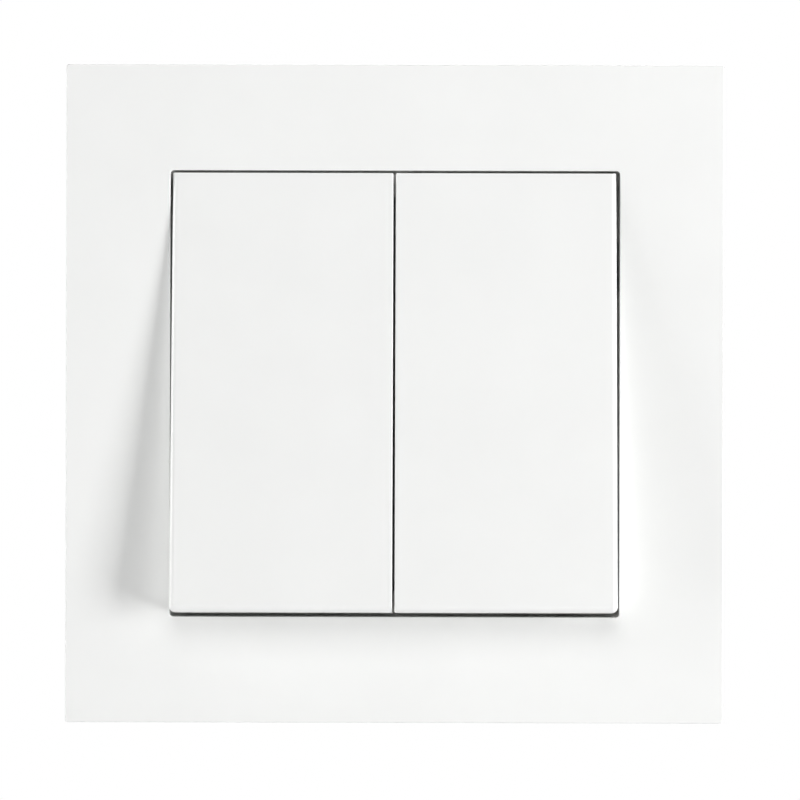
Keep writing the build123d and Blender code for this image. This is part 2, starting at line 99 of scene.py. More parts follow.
def length(name, description, default):
    """A length that a user may change."""
    return FloatProperty(
        name=name, description=description, default=default, unit="LENGTH", precision=5
    )


def angle(name, description, default):
    """An angle that a user may change, given in degrees."""
    return FloatProperty(name=name, description=description, default=radians(default), unit="ROTATION")


def power(name, description, default):
    """A lamp's power that a user may change."""
    return FloatProperty(name=name, description=description, default=default, unit="POWER")


def colour(name, description, default):
    """A colour that a user may change."""
    return FloatVectorProperty(
        name=name, description=description, default=default, subtype="COLOR", min=0.0, max=1.0
    )


class FrameSizes(bpy.types.PropertyGroup):
    """Sizes of the cover frame."""

    side: length("Side", "Width and height of the frame at the wall", FRAME_HIGH.x - FRAME_LOW.x)
    depth: length("Depth", "How far the frame stands out from the wall", FRAME_HIGH.y - FRAME_LOW.y)
    draft: angle("Draft", "Slope of the outer walls", 0.6)
    wall: length("Wall", "Thickness of the outer walls", 2.0 * MM)
    front_wall: length("Front wall", "Thickness of the front", 2.2 * MM)
    corner_radius: length("Corner radius", "Radius of the four outer corners", 0.3 * MM)
    edge_round: length("Edge round", "Radius of the outer front edge", 0.2 * MM)
    opening_width: length("Opening width", "Width of the opening for the rockers", 55.2 * MM)
    opening_height: length("Opening height", "Height of the opening for the rockers", 54.8 * MM)
    opening_corner: length("Opening corner", "Radius of the opening's corners", 0.45 * MM)
    opening_round: length("Opening round", "Radius of the front edge of the opening", 0.15 * MM)
    collar_wall: length("Collar wall", "Thickness of the collar behind the opening", 1.5 * MM)
    collar_out: length("Collar out", "Where the collar ends in front of the wall", 2.7 * MM)
    rib: length("Rib", "Thickness of the ribs behind the front", 1.0 * MM)
    rib_depth: length("Rib depth", "How far the ribs stand behind the front", 2.6 * MM)
    rib_pitch: length("Rib pitch", "Distance from a latch to the ribs beside it", 7.5 * MM)
    latch_place: length("Latch place", "Height of the latches above and below the middle", 16.0 * MM)
    catch_width: length("Catch width", "Width of a catch for a latch", 6.0 * MM)
    catch_reach: length("Catch reach", "How far a catch stands out from the collar", 0.7 * MM)
    catch_depth: length("Catch depth", "Depth of a catch", 1.0 * MM)


class RockerSizes(bpy.types.PropertyGroup):
    """Sizes of the two rockers."""

    width: length("Width", "Width of one rocker", ROCKER_HIGH.x - ROCKER_LOW.x)
    height: length("Height", "Height of one rocker, measured along its face", 54.0 * MM)
    upper_ease: length("Upper ease", "How far the upper edge is set back from the frame", 0.16 * MM)
    middle_ease: length("Middle ease", "How far the edge at the other rocker is set back", 0.05 * MM)
    play: length("Play", "How far left of the middle the pair sits", 0.08 * MM)
    face_rise: length("Face rise", "Distance from the pivot to the face", 4.4 * MM)
    skirt_drop: length("Skirt drop", "Distance from the pivot back to the end of the skirt", 2.125 * MM)
    front_wall: length("Front wall", "Thickness of the face", 1.8 * MM)
    skirt_wall: length("Skirt wall", "Thickness of the skirt", 1.2 * MM)
    outer_round: length("Outer round", "Radius of the front edges beside the frame", 0.7 * MM)
    lower_round: length("Lower round", "Radius of the lower front edge", 0.8 * MM)
    small_round: length("Small round", "Radius of the upper and the middle edges", 0.15 * MM)
    rib: length("Rib", "Thickness of the ribs under the face", 1.2 * MM)
    rib_offset: length("Rib offset", "Distance of the ribs from the middle of a rocker", 6.0 * MM)
    rib_height: length("Rib height", "Length of the ribs", 24.0 * MM)
    rib_depth: length("Rib depth", "Depth of the ribs under the face", 0.8 * MM)
    hook_place: length("Hook place", "Height of a hook's inner face", 8.4 * MM)
    hook_width: length("Hook width", "Width of a hook", 5.0 * MM)
    hook_wall: length("Hook wall", "Thickness of a hook's arm", 1.2 * MM)
    hook_barb: length("Hook barb", "How far a hook's barb stands out", 0.6 * MM)
    hook_neck: length("Hook neck", "Depth of the arm from the face to the barb", 2.75 * MM)
    hook_length: length("Hook length", "Depth of the barb's slope", 1.3 * MM)


class PlateSizes(bpy.types.PropertyGroup):
    """Sizes of the support plate."""

    side: length("Side", "Width and height of the plate", PLATE_HIGH.x - PLATE_LOW.x)
    thickness: length("Thickness", "Thickness of the steel sheet", 1.2 * MM)
    corner_cut: length("Corner cut", "How much of each corner is cut off", 9.0 * MM)
    corner_round: length("Corner round", "Radius at the ends of a cut corner", 2.0 * MM)
    edge_round: length("Edge round", "Radius that punching leaves along the edges", 0.15 * MM)
    window_width: length("Window width", "Width of the window for the mechanism", 34.0 * MM)
    window_height: length("Window height", "Height of the window for the mechanism", 26.0 * MM)
    window_round: length("Window round", "Radius of the window's corners", 2.0 * MM)
    box_screw_place: length("Box screw place", "Distance of the box screws from the middle", 30.0 * MM)
    box_screw_hole: length("Box screw hole", "Radius of the holes for the box screws", 1.8 * MM)
    screw_place: length("Screw place", "Distance of the housing screws from the middle", 16.2 * MM)
    screw_hole: length("Screw hole", "Radius of the holes for the housing screws", 1.3 * MM)
    bead_place: length("Bead place", "Distance of a stiffening bead from the middle", 38.94 * MM)
    bead_length: length("Bead length", "Length of a bead", 10.0 * MM)
    bead_width: length("Bead width", "Width of a bead", 2.6 * MM)
    bead_rise: length("Bead rise", "How far a bead stands out of the sheet", 0.6 * MM)
    bead_wall: length("Bead wall", "Thickness of the sheet round a bead's groove", 0.6 * MM)


class BaseSizes(bpy.types.PropertyGroup):
    """Sizes of the moulded base."""

    side: length("Side", "Width and height of the base at the plate", BASE_HIGH.x - BASE_LOW.x)
    depth: length("Depth", "How far the base reaches behind the wall", BASE_HIGH.y)
    draft: angle("Draft", "Slope of the outer walls", 0.5)
    wall: length("Wall", "Thickness of the outer walls", 1.6 * MM)
    floor: length("Floor", "Thickness of the back", 2.0 * MM)
    corner_cut: length("Corner cut", "How much of each corner is cut off", 6.0 * MM)
    corner_round: length("Corner round", "Radius at the ends of a cut corner", 1.5 * MM)
    back_round: length("Back round", "Radius of the edge round the back", 0.8 * MM)
    edge_round: length("Edge round", "Radius of the small edges on the back", 0.1 * MM)
    recess_width: length("Recess width", "Width of the ribbed recess in the back", 36.0 * MM)
    recess_height: length("Recess height", "Height of the ribbed recess in the back", 27.2 * MM)
    recess_depth: length("Recess depth", "Depth of the ribbed recess in the back", 0.8 * MM)
    recess_rib: length("Recess rib", "Thickness of the ribs in the recess", 1.0 * MM)
    recess_rib_place: length("Recess rib place", "Distance of upright ribs from the middle", 6.0 * MM)
    recess_round: length("Recess round", "Radius of the recess's corners", 1.0 * MM)
    load_place: length("Load place", "Distance of the lower terminals from the middle", 7.3 * MM)
    wire_pitch: length("Wire pitch", "Distance between the two wires of a terminal", 7.2 * MM)
    wire_place: length("Wire place", "Height of the wires above and below the middle", 17.1 * MM)
    wire_hole: length("Wire hole", "Width of a wire entry", 2.6 * MM)
    wire_round: length("Wire round", "Radius of a wire entry's corners", 0.5 * MM)
    funnel: length("Funnel", "Width of the funnel at a wire entry", 4.0 * MM)
    funnel_foot: length("Funnel foot", "Width at the bottom of a funnel", 3.02 * MM)
    funnel_depth: length("Funnel depth", "Depth of a funnel", 0.7 * MM)
    key_place: length("Key place", "Height of the keys above and below the middle", 16.6 * MM)
    key_slot_width: length("Key slot width", "Width of the slot for a key", 2.7 * MM)
    key_slot_height: length("Key slot height", "Height of the slot for a key", 2.3 * MM)
    boss_place: length("Boss place", "Distance of the screw bosses from the middle", 16.2 * MM)
    boss_radius: length("Boss radius", "Radius of a screw boss", 2.3 * MM)
    pilot_radius: length("Pilot radius", "Radius of a screw's pilot hole", 1.05 * MM)
    pilot_depth: length("Pilot depth", "Depth of a screw's pilot hole", 8.3 * MM)
    strip_deep: length("Strip deep", "Depth of the back of the brass strips", 11.7 * MM)
    chamber_length: length("Chamber length", "Length of a terminal's chamber", 12.4 * MM)
    chamber_wall: length("Chamber wall", "Thickness of a chamber's inner wall", 1.0 * MM)
    chamber_inner: length("Chamber inner", "Height of the chambers' inner walls", 13.2 * MM)
    lever_place: length("Lever place", "Distance of the contact levers from the middle", 11.0 * MM)
    support_wall: length("Support wall", "Thickness of the walls under the strips", 1.2 * MM)
    support_height: length("Support height", "Height of the walls under the fulcrums", 5.0 * MM)
    tip_support: length("Tip support", "How far below the middle the load strips rest", 6.8 * MM)
    tip_support_width: length("Tip support width", "Width of the wall under a load strip", 6.0 * MM)


class KeySizes(bpy.types.PropertyGroup):
    """Sizes of the three release keys."""

    stem_width: length("Stem width", "Width of the stem that shows at the back", 2.4 * MM)
    stem_length: length("Stem length", "Length of the stem", KEY_HIGH.y - KEY_SHOULDER_DEEP)
    edge_round: length("Edge round", "Radius of the key's edges", 0.2 * MM)
    dish_rim: length("Dish rim", "Width of the rim round the dish for a screwdriver", 0.4 * MM)
    dish_depth: length("Dish depth", "Depth of the dish for a screwdriver", 0.35 * MM)


class SpringSizes(bpy.types.PropertyGroup):
    """Sizes of the two plunger springs."""

    wire_radius: length("Wire radius", "Radius of the spring's wire", 0.2 * MM)
    coil_radius: length("Coil radius", "Radius of the coil at the middle of its wire", 1.55 * MM)
    coil_length: length("Coil length", "Length of the spring over both ends", 6.57 * MM)
    coils: IntProperty(name="Coils", description="Number of turns of the spring", default=5)
    place: length("Place", "Distance of a spring from the middle", 11.0 * MM)
    seat_out: length("Seat out", "How far the seat of a spring lies in front of the pivot", 0.7 * MM)


class ClampSizes(bpy.types.PropertyGroup):
    """Sizes of the spring clamps in the terminals."""

    thickness: length("Thickness", "Thickness of the spring steel", 0.4 * MM)
    width: length("Width", "Width of one clamp", 4.4 * MM)
    edge_round: length("Edge round", "Radius of the clamp's edges", 0.05 * MM)
    foot_place: length("Foot place", "Distance of the foot above or below the middle", 13.5 * MM)
    foot_deep: length("Foot deep", "Depth at which the foot starts", 11.8 * MM)
    bend_deep: length("Bend deep", "Depth at which foot and leaf would meet", 20.5 * MM)
    bend_radius: length("Bend radius", "Radius of the bend between foot and leaf", 0.7 * MM)
    tip_place: length("Tip place", "Distance of the biting end above or below the middle", 18.05 * MM)
    tip_deep: length("Tip deep", "Depth of the biting end", 13.8 * MM)
    pressed: FloatProperty(
        name="Pressed", description="Share of its depth that a pressed clamp keeps", default=0.76
    )


class FinishColours(bpy.types.PropertyGroup):
    """Colours of the finishes."""

    white: colour("White", "Glossy plastic of the frame and rockers", (0.88, 0.885, 0.875))
    cradle: colour("Cradle", "Pale plastic of the cradles and the mechanism cover", (0.72, 0.73, 0.72))
    housing: colour("Housing", "Grey plastic of the base", (0.5, 0.51, 0.51))
    acetal: colour("Acetal", "Natural plastic of the plungers", (0.85, 0.84, 0.8))
    key: colour("Key", "Amber plastic of the release keys", (0.86, 0.46, 0.12))
    zinc: colour("Zinc", "Zinc plating of the support plate", (0.68, 0.68, 0.66))
    screw: colour("Screw", "Zinc plating of the screws", (0.62, 0.61, 0.57))
    spring: colour("Spring", "Stainless steel of the springs and clamps", (0.6, 0.6, 0.6))
    copper: colour("Copper", "Bare copper of the contact levers", (0.72, 0.42, 0.28))
    brass: colour("Brass", "Bare brass of the strips", (0.78, 0.62, 0.32))
    silver: colour("Silver", "Silver of the contact rivets", (0.82, 0.82, 0.8))


class StageSetup(bpy.types.PropertyGroup):
    """Camera, lamps and floor."""

    camera_distance: length("Camera distance", "From the face of the frame to the camera", 0.357)
    picture_width: length("Picture width", "Width that the picture covers at the face", 0.0982)
    picture_right: length("Picture right", "How far right of the middle the picture lies", 0.64 * MM)
    camera_right: length("Camera right", "How far the camera stands right of the middle", 4.0 * MM)
    camera_down: length("Camera down", "How far the camera stands below the middle", 0.75 * MM)
    camera_roll: angle("Camera roll", "Turn of the camera about its view", -0.14)
    lamp_distance: length("Lamp distance", "From the switch to the lamps", 0.8)
    key_power: power("Key power", "Power of the main lamp on the right", 7.0)
    key_turn: angle("Key turn", "Turn of the main lamp from the right towards the top", -8.0)
    key_height: angle("Key height", "Angle of the main lamp over the face", 27.5)
    fill_power: power("Fill power", "Power of the soft lamp at the upper left", 0.7)
    fill_turn: angle("Fill turn", "Turn of the soft lamp from the right towards the top", 150.0)
    fill_height: angle("Fill height", "Angle of the soft lamp over the face", 30.0)
    low_power: power("Low power", "Power of the low lamp on the left", 5.0)
    low_turn: angle("Low turn", "Turn of the low lamp from the right towards the top", 186.0)
    low_height: angle("Low height", "Angle of the low lamp over the face", 10.0)
    front_power: power("Front power", "Power of the lamp above the camera", 2.7)
    front_turn: angle("Front turn", "Turn of the front lamp from the right towards the top", 90.0)
    front_height: angle("Front height", "Angle of the front lamp over the face", 50.0)
    back_power: power("Back power", "Power of the lamp behind the wall plane", 4.2)
    back_turn: angle("Back turn", "Turn of the back lamp from the right towards the top", 90.0)
    back_height: angle("Back height", "Angle of the back lamp over the face", -65.0)
    ambient: FloatProperty(
        name="Ambient", description="Strength of the light from all sides", default=0.01
    )
    side_tone: FloatProperty(
        name="Side tone", description="Grey of the surroundings beside the white backdrop", default=0.72
    )
    floor_drop: length("Floor drop", "How far the floor lies below the middle", 0.16)
    floor_radius: length("Floor radius", "Radius of the floor", 0.5)


class SwitchSettings(bpy.types.PropertyGroup):
    """All settings of the double light switch."""

    cover_frame: PointerProperty(type=FrameSizes)
    rocker: PointerProperty(type=RockerSizes)
    plate: PointerProperty(type=PlateSizes)
    base: PointerProperty(type=BaseSizes)
    key: PointerProperty(type=KeySizes)
    spring: PointerProperty(type=SpringSizes)
    clamp: PointerProperty(type=ClampSizes)
    finish: PointerProperty(type=FinishColours)
    stage: PointerProperty(type=StageSetup)


def settings():
    """The settings kept with the scene."""
    return bpy.context.scene.light_switch


def apply_transform():
    """Takes the place, the turn and the scale of what is selected into its mesh."""
    bpy.ops.object.transform_apply(location=True, rotation=True, scale=True)


def extrude(depth):
    """Extrudes what is selected along Y, in edit mode."""
    bpy.ops.mesh.extrude_region_move(TRANSFORM_OT_translate={"value": (0.0, depth, 0.0)})


def add_sheet(name, outline, middle=(0.0, 0.0)):
    """A flat sheet parallel to the wall, left in edit mode with its face selected.

    An outline is a width, a height and a place along Y.
    """
    width, height, place = outline
    bpy.ops.object.select_all(action="DESELECT")
    bpy.ops.mesh.primitive_plane_add(
        size=1.0, location=(middle[0], place, middle[1]), rotation=(pi / 2, 0.0, 0.0)
    )
    sheet = bpy.context.object
    sheet.name = name
    sheet.data.name = name
    sheet.scale = (width, height, 1.0)
    apply_transform()
    bpy.ops.object.mode_set(mode="EDIT")
    bpy.ops.mesh.select_all(action="SELECT")
    return sheet


def add_block(name, low, high):
    """A block between two corners, in object mode."""
    low = Vector(low)
    high = Vector(high)
    bpy.ops.object.select_all(action="DESELECT")
    bpy.ops.mesh.primitive_cube_add(size=1.0, location=(low + high) / 2)
    block = bpy.context.object
    block.name = name
    block.scale = high - low
    apply_transform()
    return block


def add_rounded_block(name, width, height, radius, start, end, middle=(0.0, 0.0), turn=0.0):
    """A block with rounded corners, carried along Y and turned about its own middle, in object mode."""
    block = add_sheet(name, (width, height, start))
    bpy.ops.mesh.bevel(offset=radius, segments=CORNER_STEPS, affect="VERTICES")
    bpy.ops.mesh.select_all(action="SELECT")
    extrude(end - start)
    clean_mesh()
    bpy.ops.object.mode_set(mode="OBJECT")
    block.rotation_euler = (0.0, turn, 0.0)
    block.location = (middle[0], 0.0, middle[1])
    apply_transform()
    return block


def add_cut_corner_sheet(name, outline, cut, radius):
    """A square sheet whose cut corners are rounded at their ends, left in edit mode and selected."""
    sheet = add_sheet(name, outline)
    bpy.ops.mesh.bevel(offset=cut, segments=1, affect="VERTICES")
    bpy.ops.mesh.select_all(action="SELECT")
    bpy.ops.mesh.bevel(offset=radius * tan(pi / 8), segments=CORNER_STEPS, affect="VERTICES")
    bpy.ops.mesh.select_all(action="SELECT")
    return sheet


def add_rod(name, radius, start, end, middle):
    """A round bar along Y, in object mode."""
    bpy.ops.object.select_all(action="DESELECT")
    bpy.ops.mesh.primitive_cylinder_add(
        vertices=ROD_SIDES,
        radius=radius,
        depth=end - start,
        location=(middle[0], (start + end) / 2, middle[1]),
        rotation=(pi / 2, 0.0, 0.0),
    )
    rod = bpy.context.object
    rod.name = name
    apply_transform()
    return rod


def carry_through(outlines, middle=(0.0, 0.0)):
    """Extrudes the selected face from the first outline through all the others."""
    for (width, height, place), (next_width, next_height, next_place) in zip(outlines, outlines[1:]):
        extrude(next_place - place)
        bpy.ops.transform.resize(
            value=(next_width / width, 1.0, next_height / height),
            center_override=(middle[0], next_place, middle[1]),
        )


def pick_edges(piece, test):
    """Selects the edges of a piece in edit mode whose two ends both pass a test of their place."""
    bpy.ops.mesh.select_mode(type="EDGE")
    bpy.ops.mesh.select_all(action="DESELECT")
    net = bmesh.from_edit_mesh(piece.data)
    for edge in net.edges:
        edge.select_set(all(test(corner.co) for corner in edge.verts))
    bmesh.update_edit_mesh(piece.data)


def four_corners(place):
    """The corners of a square round the middle, as places across and up."""
    return [(x, z) for x in (-place, place) for z in (-place, place)]


def terminals():
    """Each terminal with its middle across, and whether it lies above or below the middle."""
    place = settings().base.load_place
    return (("common", 0.0, 1), ("left", -place, -1), ("right", place, -1))


def near(value, target):
    """Whether two lengths are the same, to a few microns."""
    return abs(value - target) < SAME_PLACE


def clean_mesh():
    """Merges doubled points and turns all faces outwards, in edit mode."""
    bpy.ops.mesh.select_all(action="SELECT")
    bpy.ops.mesh.remove_doubles(threshold=MERGE_DISTANCE)
    bpy.ops.mesh.normals_make_consistent(inside=False)


def make_active(piece):
    """Selects one piece alone, in object mode."""
    bpy.ops.object.select_all(action="DESELECT")
    piece.select_set(True)
    bpy.context.view_layer.objects.active = piece


def apply_modifiers(piece):
    """Applies every modifier of a piece in order."""
    make_active(piece)
    for modifier in list(piece.modifiers):
        bpy.ops.object.modifier_apply(modifier=modifier.name)


def combine(piece, tool, operation):
    """Joins a tool to a piece or cuts it away, and removes the tool."""
    boolean = piece.modifiers.new("Combine", "BOOLEAN")
    boolean.operation = operation
    boolean.solver = "EXACT"
    boolean.use_self = True
    boolean.object = tool
    apply_modifiers(piece)
    bpy.data.objects.remove(tool)


def round_edges(piece, radius, steps):
    """Rounds every sharp edge of a piece."""
    rounds = piece.modifiers.new("Edge rounds", "BEVEL")
    rounds.limit_method = "ANGLE"
    rounds.angle_limit = SHARP_ANGLE
    rounds.width = radius
    rounds.segments = steps
    apply_modifiers(piece)


def join_blocks(blocks):
    """Makes one object of several blocks."""
    bpy.ops.object.select_all(action="DESELECT")
    for block in blocks:
        block.select_set(True)
    bpy.context.view_layer.objects.active = blocks[0]
    bpy.ops.object.join()
    return bpy.context.object


def copy_of(piece, name):
    """A copy of a piece with its own mesh."""
    copy = piece.copy()
    copy.data = piece.data.copy()
    copy.name = name
    copy.data.name = name
    bpy.context.collection.objects.link(copy)
    return copy


def fix_place(piece):
    """Takes the place, the turn and the scale of a piece into its mesh, with the faces outwards."""
    make_active(piece)
    apply_transform()
    bpy.ops.object.mode_set(mode="EDIT")
    clean_mesh()
    bpy.ops.object.mode_set(mode="OBJECT")


def smooth(piece):
    """Shades a piece smoothly, with its flat faces kept flat."""
    make_active(piece)
    bpy.ops.object.shade_smooth_by_angle(angle=SMOOTH_ANGLE)
    weighted = piece.modifiers.new("Flat faces", "WEIGHTED_NORMAL")
    weighted.keep_sharp = True
    weighted.weight = FLAT_FACE_WEIGHT
    apply_modifiers(piece)


def seat(piece, body, slot, *nodes):
    """Gives a finished piece its material and its place on the frame."""
    piece.data.materials.clear()
    piece.data.materials.append(finish_for(slot))
    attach(piece, body)
    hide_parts(*nodes)


# The values between which a noise texture mostly stays.
NOISE_LOW = 0.3
NOISE_HIGH = 0.7
RELIEF_DEPTH = 0.02 * MM
PLASTIC_IOR = 1.49


def noise(group, name, place, detail, scale=1.0):
    """A noise texture on the given coordinates."""
    texture = group.nodes.new("ShaderNodeTexNoise")
    texture.name = name
    texture.inputs["Scale"].default_value = scale
    texture.inputs["Detail"].default_value = detail
    group.links.new(place, texture.inputs["Vector"])
    return texture.outputs["Fac"]


def swing(group, factor, low, high):
    """A noise factor spread between two values."""
    spread = group.nodes.new("ShaderNodeMapRange")
    spread.inputs["From Min"].default_value = NOISE_LOW
    spread.inputs["From Max"].default_value = NOISE_HIGH
    spread.inputs["To Min"].default_value = low
    spread.inputs["To Max"].default_value = high
    group.links.new(factor, spread.inputs["Value"])
    return spread.outputs["Result"]


def larger(nodes, links, first, second):
    """The larger of two values."""
    pick = nodes.new("ShaderNodeMath")
    pick.operation = "MAXIMUM"
    links.new(first, pick.inputs[0])
    links.new(second, pick.inputs[1])
    return pick.outputs["Value"]


SKIN_INPUTS = {
    "Colour": "NodeSocketColor",
    "Roughness": "NodeSocketFloat",
    "Patchiness": "NodeSocketFloat",
}
SKIN_OUTPUTS = {
    "Colour": "NodeSocketColor",
    "Roughness": "NodeSocketFloat",
    "Height": "NodeSocketFloat",
}


def new_skin(name, own_inputs):
    """A shader node group for a skin with its sockets, and its input and output nodes."""
    group = bpy.data.node_groups.new(name, "ShaderNodeTree")
    for socket, kind in {**SKIN_INPUTS, **own_inputs}.items():
        group.interface.new_socket(socket, in_out="INPUT", socket_type=kind)
    for socket, kind in SKIN_OUTPUTS.items():
        group.interface.new_socket(socket, in_out="OUTPUT", socket_type=kind)
    return group, group.nodes.new("NodeGroupInput"), group.nodes.new("NodeGroupOutput")


def vary_colour(group, given, made, factor):
    """Scales a skin's colour by a factor that changes over the surface."""
    tint = group.nodes.new("ShaderNodeVectorMath")
    tint.operation = "SCALE"
    group.links.new(given.outputs["Colour"], tint.inputs[0])
    group.links.new(factor, tint.inputs["Scale"])
    group.links.new(tint.outputs["Vector"], made.inputs["Colour"])


def vary_gloss(group, given, made, factor):
    """Adds a changing share of the patchiness to a skin's roughness."""
    gloss = group.nodes.new("ShaderNodeMath")
    gloss.operation = "MULTIPLY_ADD"
    group.links.new(factor, gloss.inputs[0])
    group.links.new(given.outputs["Patchiness"], gloss.inputs[1])
    group.links.new(given.outputs["Roughness"], gloss.inputs[2])
    group.links.new(gloss.outputs["Value"], made.inputs["Roughness"])


def moulded_skin():
    """Moulded plastic: faint clouds in the colour, patches of gloss and the mould's grain."""
    name = "Moulded skin"
    if name in bpy.data.node_groups:
        return bpy.data.node_groups[name]
    group, given, made = new_skin(name, {"Grain scale": "NodeSocketFloat"})
    place = group.nodes.new("ShaderNodeTexCoord").outputs["Object"]
    clouds = noise(group, "Clouds", place, detail=3.0, scale=90.0)
    vary_colour(group, given, made, swing(group, clouds, low=0.988, high=1.008))
    patches = noise(group, "Patches", place, detail=4.0, scale=140.0)
    vary_gloss(group, given, made, swing(group, patches, low=-0.5, high=0.5))
    grain = noise(group, "Grain", place, detail=2.0)
    group.links.new(given.outputs["Grain scale"], group.nodes["Grain"].inputs["Scale"])
    group.links.new(grain, made.inputs["Height"])
    return group


def drawn_metal():
    """Rolled or drawn metal: fine streaks along one direction and a slow change of tint."""
    name = "Drawn metal"
    if name in bpy.data.node_groups:
        return bpy.data.node_groups[name]
    group, given, made = new_skin(name, {"Stretch": "NodeSocketVector"})
    place = group.nodes.new("ShaderNodeTexCoord").outputs["Object"]
    clouds = noise(group, "Clouds", place, detail=4.0, scale=260.0)
    vary_colour(group, given, made, swing(group, clouds, low=0.9, high=1.05))
    stretched = group.nodes.new("ShaderNodeVectorMath")
    stretched.operation = "MULTIPLY"
    group.links.new(place, stretched.inputs[0])
    group.links.new(given.outputs["Stretch"], stretched.inputs[1])
    streaks = noise(group, "Streaks", stretched.outputs["Vector"], detail=3.0)
    vary_gloss(group, given, made, swing(group, streaks, low=-0.5, high=0.5))
    group.links.new(streaks, made.inputs["Height"])
    return group


def skinned_material(slot, group, values, bump):
    """A material whose colour, gloss and relief come from a skin group."""
    material = bpy.data.materials.new(slot + "_finish")
    material.use_nodes = True
    nodes, links = material.node_tree.nodes, material.node_tree.links
    shader = nodes["Principled BSDF"]
    skin = nodes.new("ShaderNodeGroup")
    skin.node_tree = group
    for socket, value in values.items():
        skin.inputs[socket].default_value = value
    relief = nodes.new("ShaderNodeBump")
    relief.inputs["Strength"].default_value = bump
    relief.inputs["Distance"].default_value = RELIEF_DEPTH
    links.new(skin.outputs["Colour"], shader.inputs["Base Color"])
    links.new(skin.outputs["Roughness"], shader.inputs["Roughness"])
    links.new(skin.outputs["Height"], relief.inputs["Height"])
    links.new(relief.outputs["Normal"], shader.inputs["Normal"])
    return material, shader


def plastic(slot, tone, roughness, patchiness, grain, bump):
    """A moulded plastic."""
    values = {
        "Colour": (*tone, 1.0),
        "Roughness": roughness,
        "Patchiness": patchiness,
        "Grain scale": grain,
    }
    material, shader = skinned_material(slot, moulded_skin(), values, bump)
    shader.inputs["IOR"].default_value = PLASTIC_IOR
    return material


def metal(slot, tone, roughness, patchiness, stretch, bump):
    """A bare or plated metal."""
    values = {
        "Colour": (*tone, 1.0),
        "Roughness": roughness,
        "Patchiness": patchiness,
        "Stretch": stretch,
    }
    material, shader = skinned_material(slot, drawn_metal(), values, bump)
    shader.inputs["Metallic"].default_value = 1.0
    return material


# How finely the streaks of a metal lie along each axis.
ALONG_HEIGHT = (2600.0, 2600.0, 70.0)
ALONG_WIDTH = (70.0, 2600.0, 2600.0)
ALL_WAYS = (1500.0, 1500.0, 1500.0)
# Each plastic with its colour, roughness, patchiness, grain scale and strength of relief.
PLASTICS = {
    "white_gloss": ("white", 0.16, 0.05, 900.0, 0.04),
    "cradle_plastic": ("cradle", 0.38, 0.08, 2500.0, 0.15),
    "housing_plastic": ("housing", 0.46, 0.12, 3200.0, 0.35),
    "plunger_plastic": ("acetal", 0.3, 0.06, 1800.0, 0.1),
    "key_plastic": ("key", 0.34, 0.08, 2500.0, 0.15),
}
# Each metal with its colour, roughness, patchiness, streaks and strength of relief.
METALS = {
    "zinc_steel": ("zinc", 0.36, 0.16, ALONG_WIDTH, 0.25),
    "screw_steel": ("screw", 0.3, 0.12, ALL_WAYS, 0.15),
    "spring_steel": ("spring", 0.26, 0.1, ALONG_HEIGHT, 0.15),
    "copper": ("copper", 0.3, 0.12, ALONG_HEIGHT, 0.2),
    "brass": ("brass", 0.28, 0.12, ALONG_HEIGHT, 0.2),
    "contact_silver": ("silver", 0.24, 0.1, ALL_WAYS, 0.1),
}


def finish_for(slot):
    """The material of a slot in the record, made on its first use."""
    name = slot + "_finish"
    if name in bpy.data.materials:
        return bpy.data.materials[name]
    tones = settings().finish
    if slot in PLASTICS:
        tone, *look = PLASTICS[slot]
        return plastic(slot, getattr(tones, tone), *look)
    tone, *look = METALS[slot]
    return metal(slot, getattr(tones, tone), *look)


class SWITCH_OT_finishes(bpy.types.Operator):
    """Give every CAD piece its finish"""

    bl_idname = "light_switch.finishes"
    bl_label = "Finishes"

    def execute(self, context):
        for piece in frame["record"]["subparts"]:
            mesh = frame["nodes"][piece["node"]].data
            for place in range(len(mesh.materials)):
                mesh.materials[place] = finish_for(piece["material_slot"])
        return {"FINISHED"}


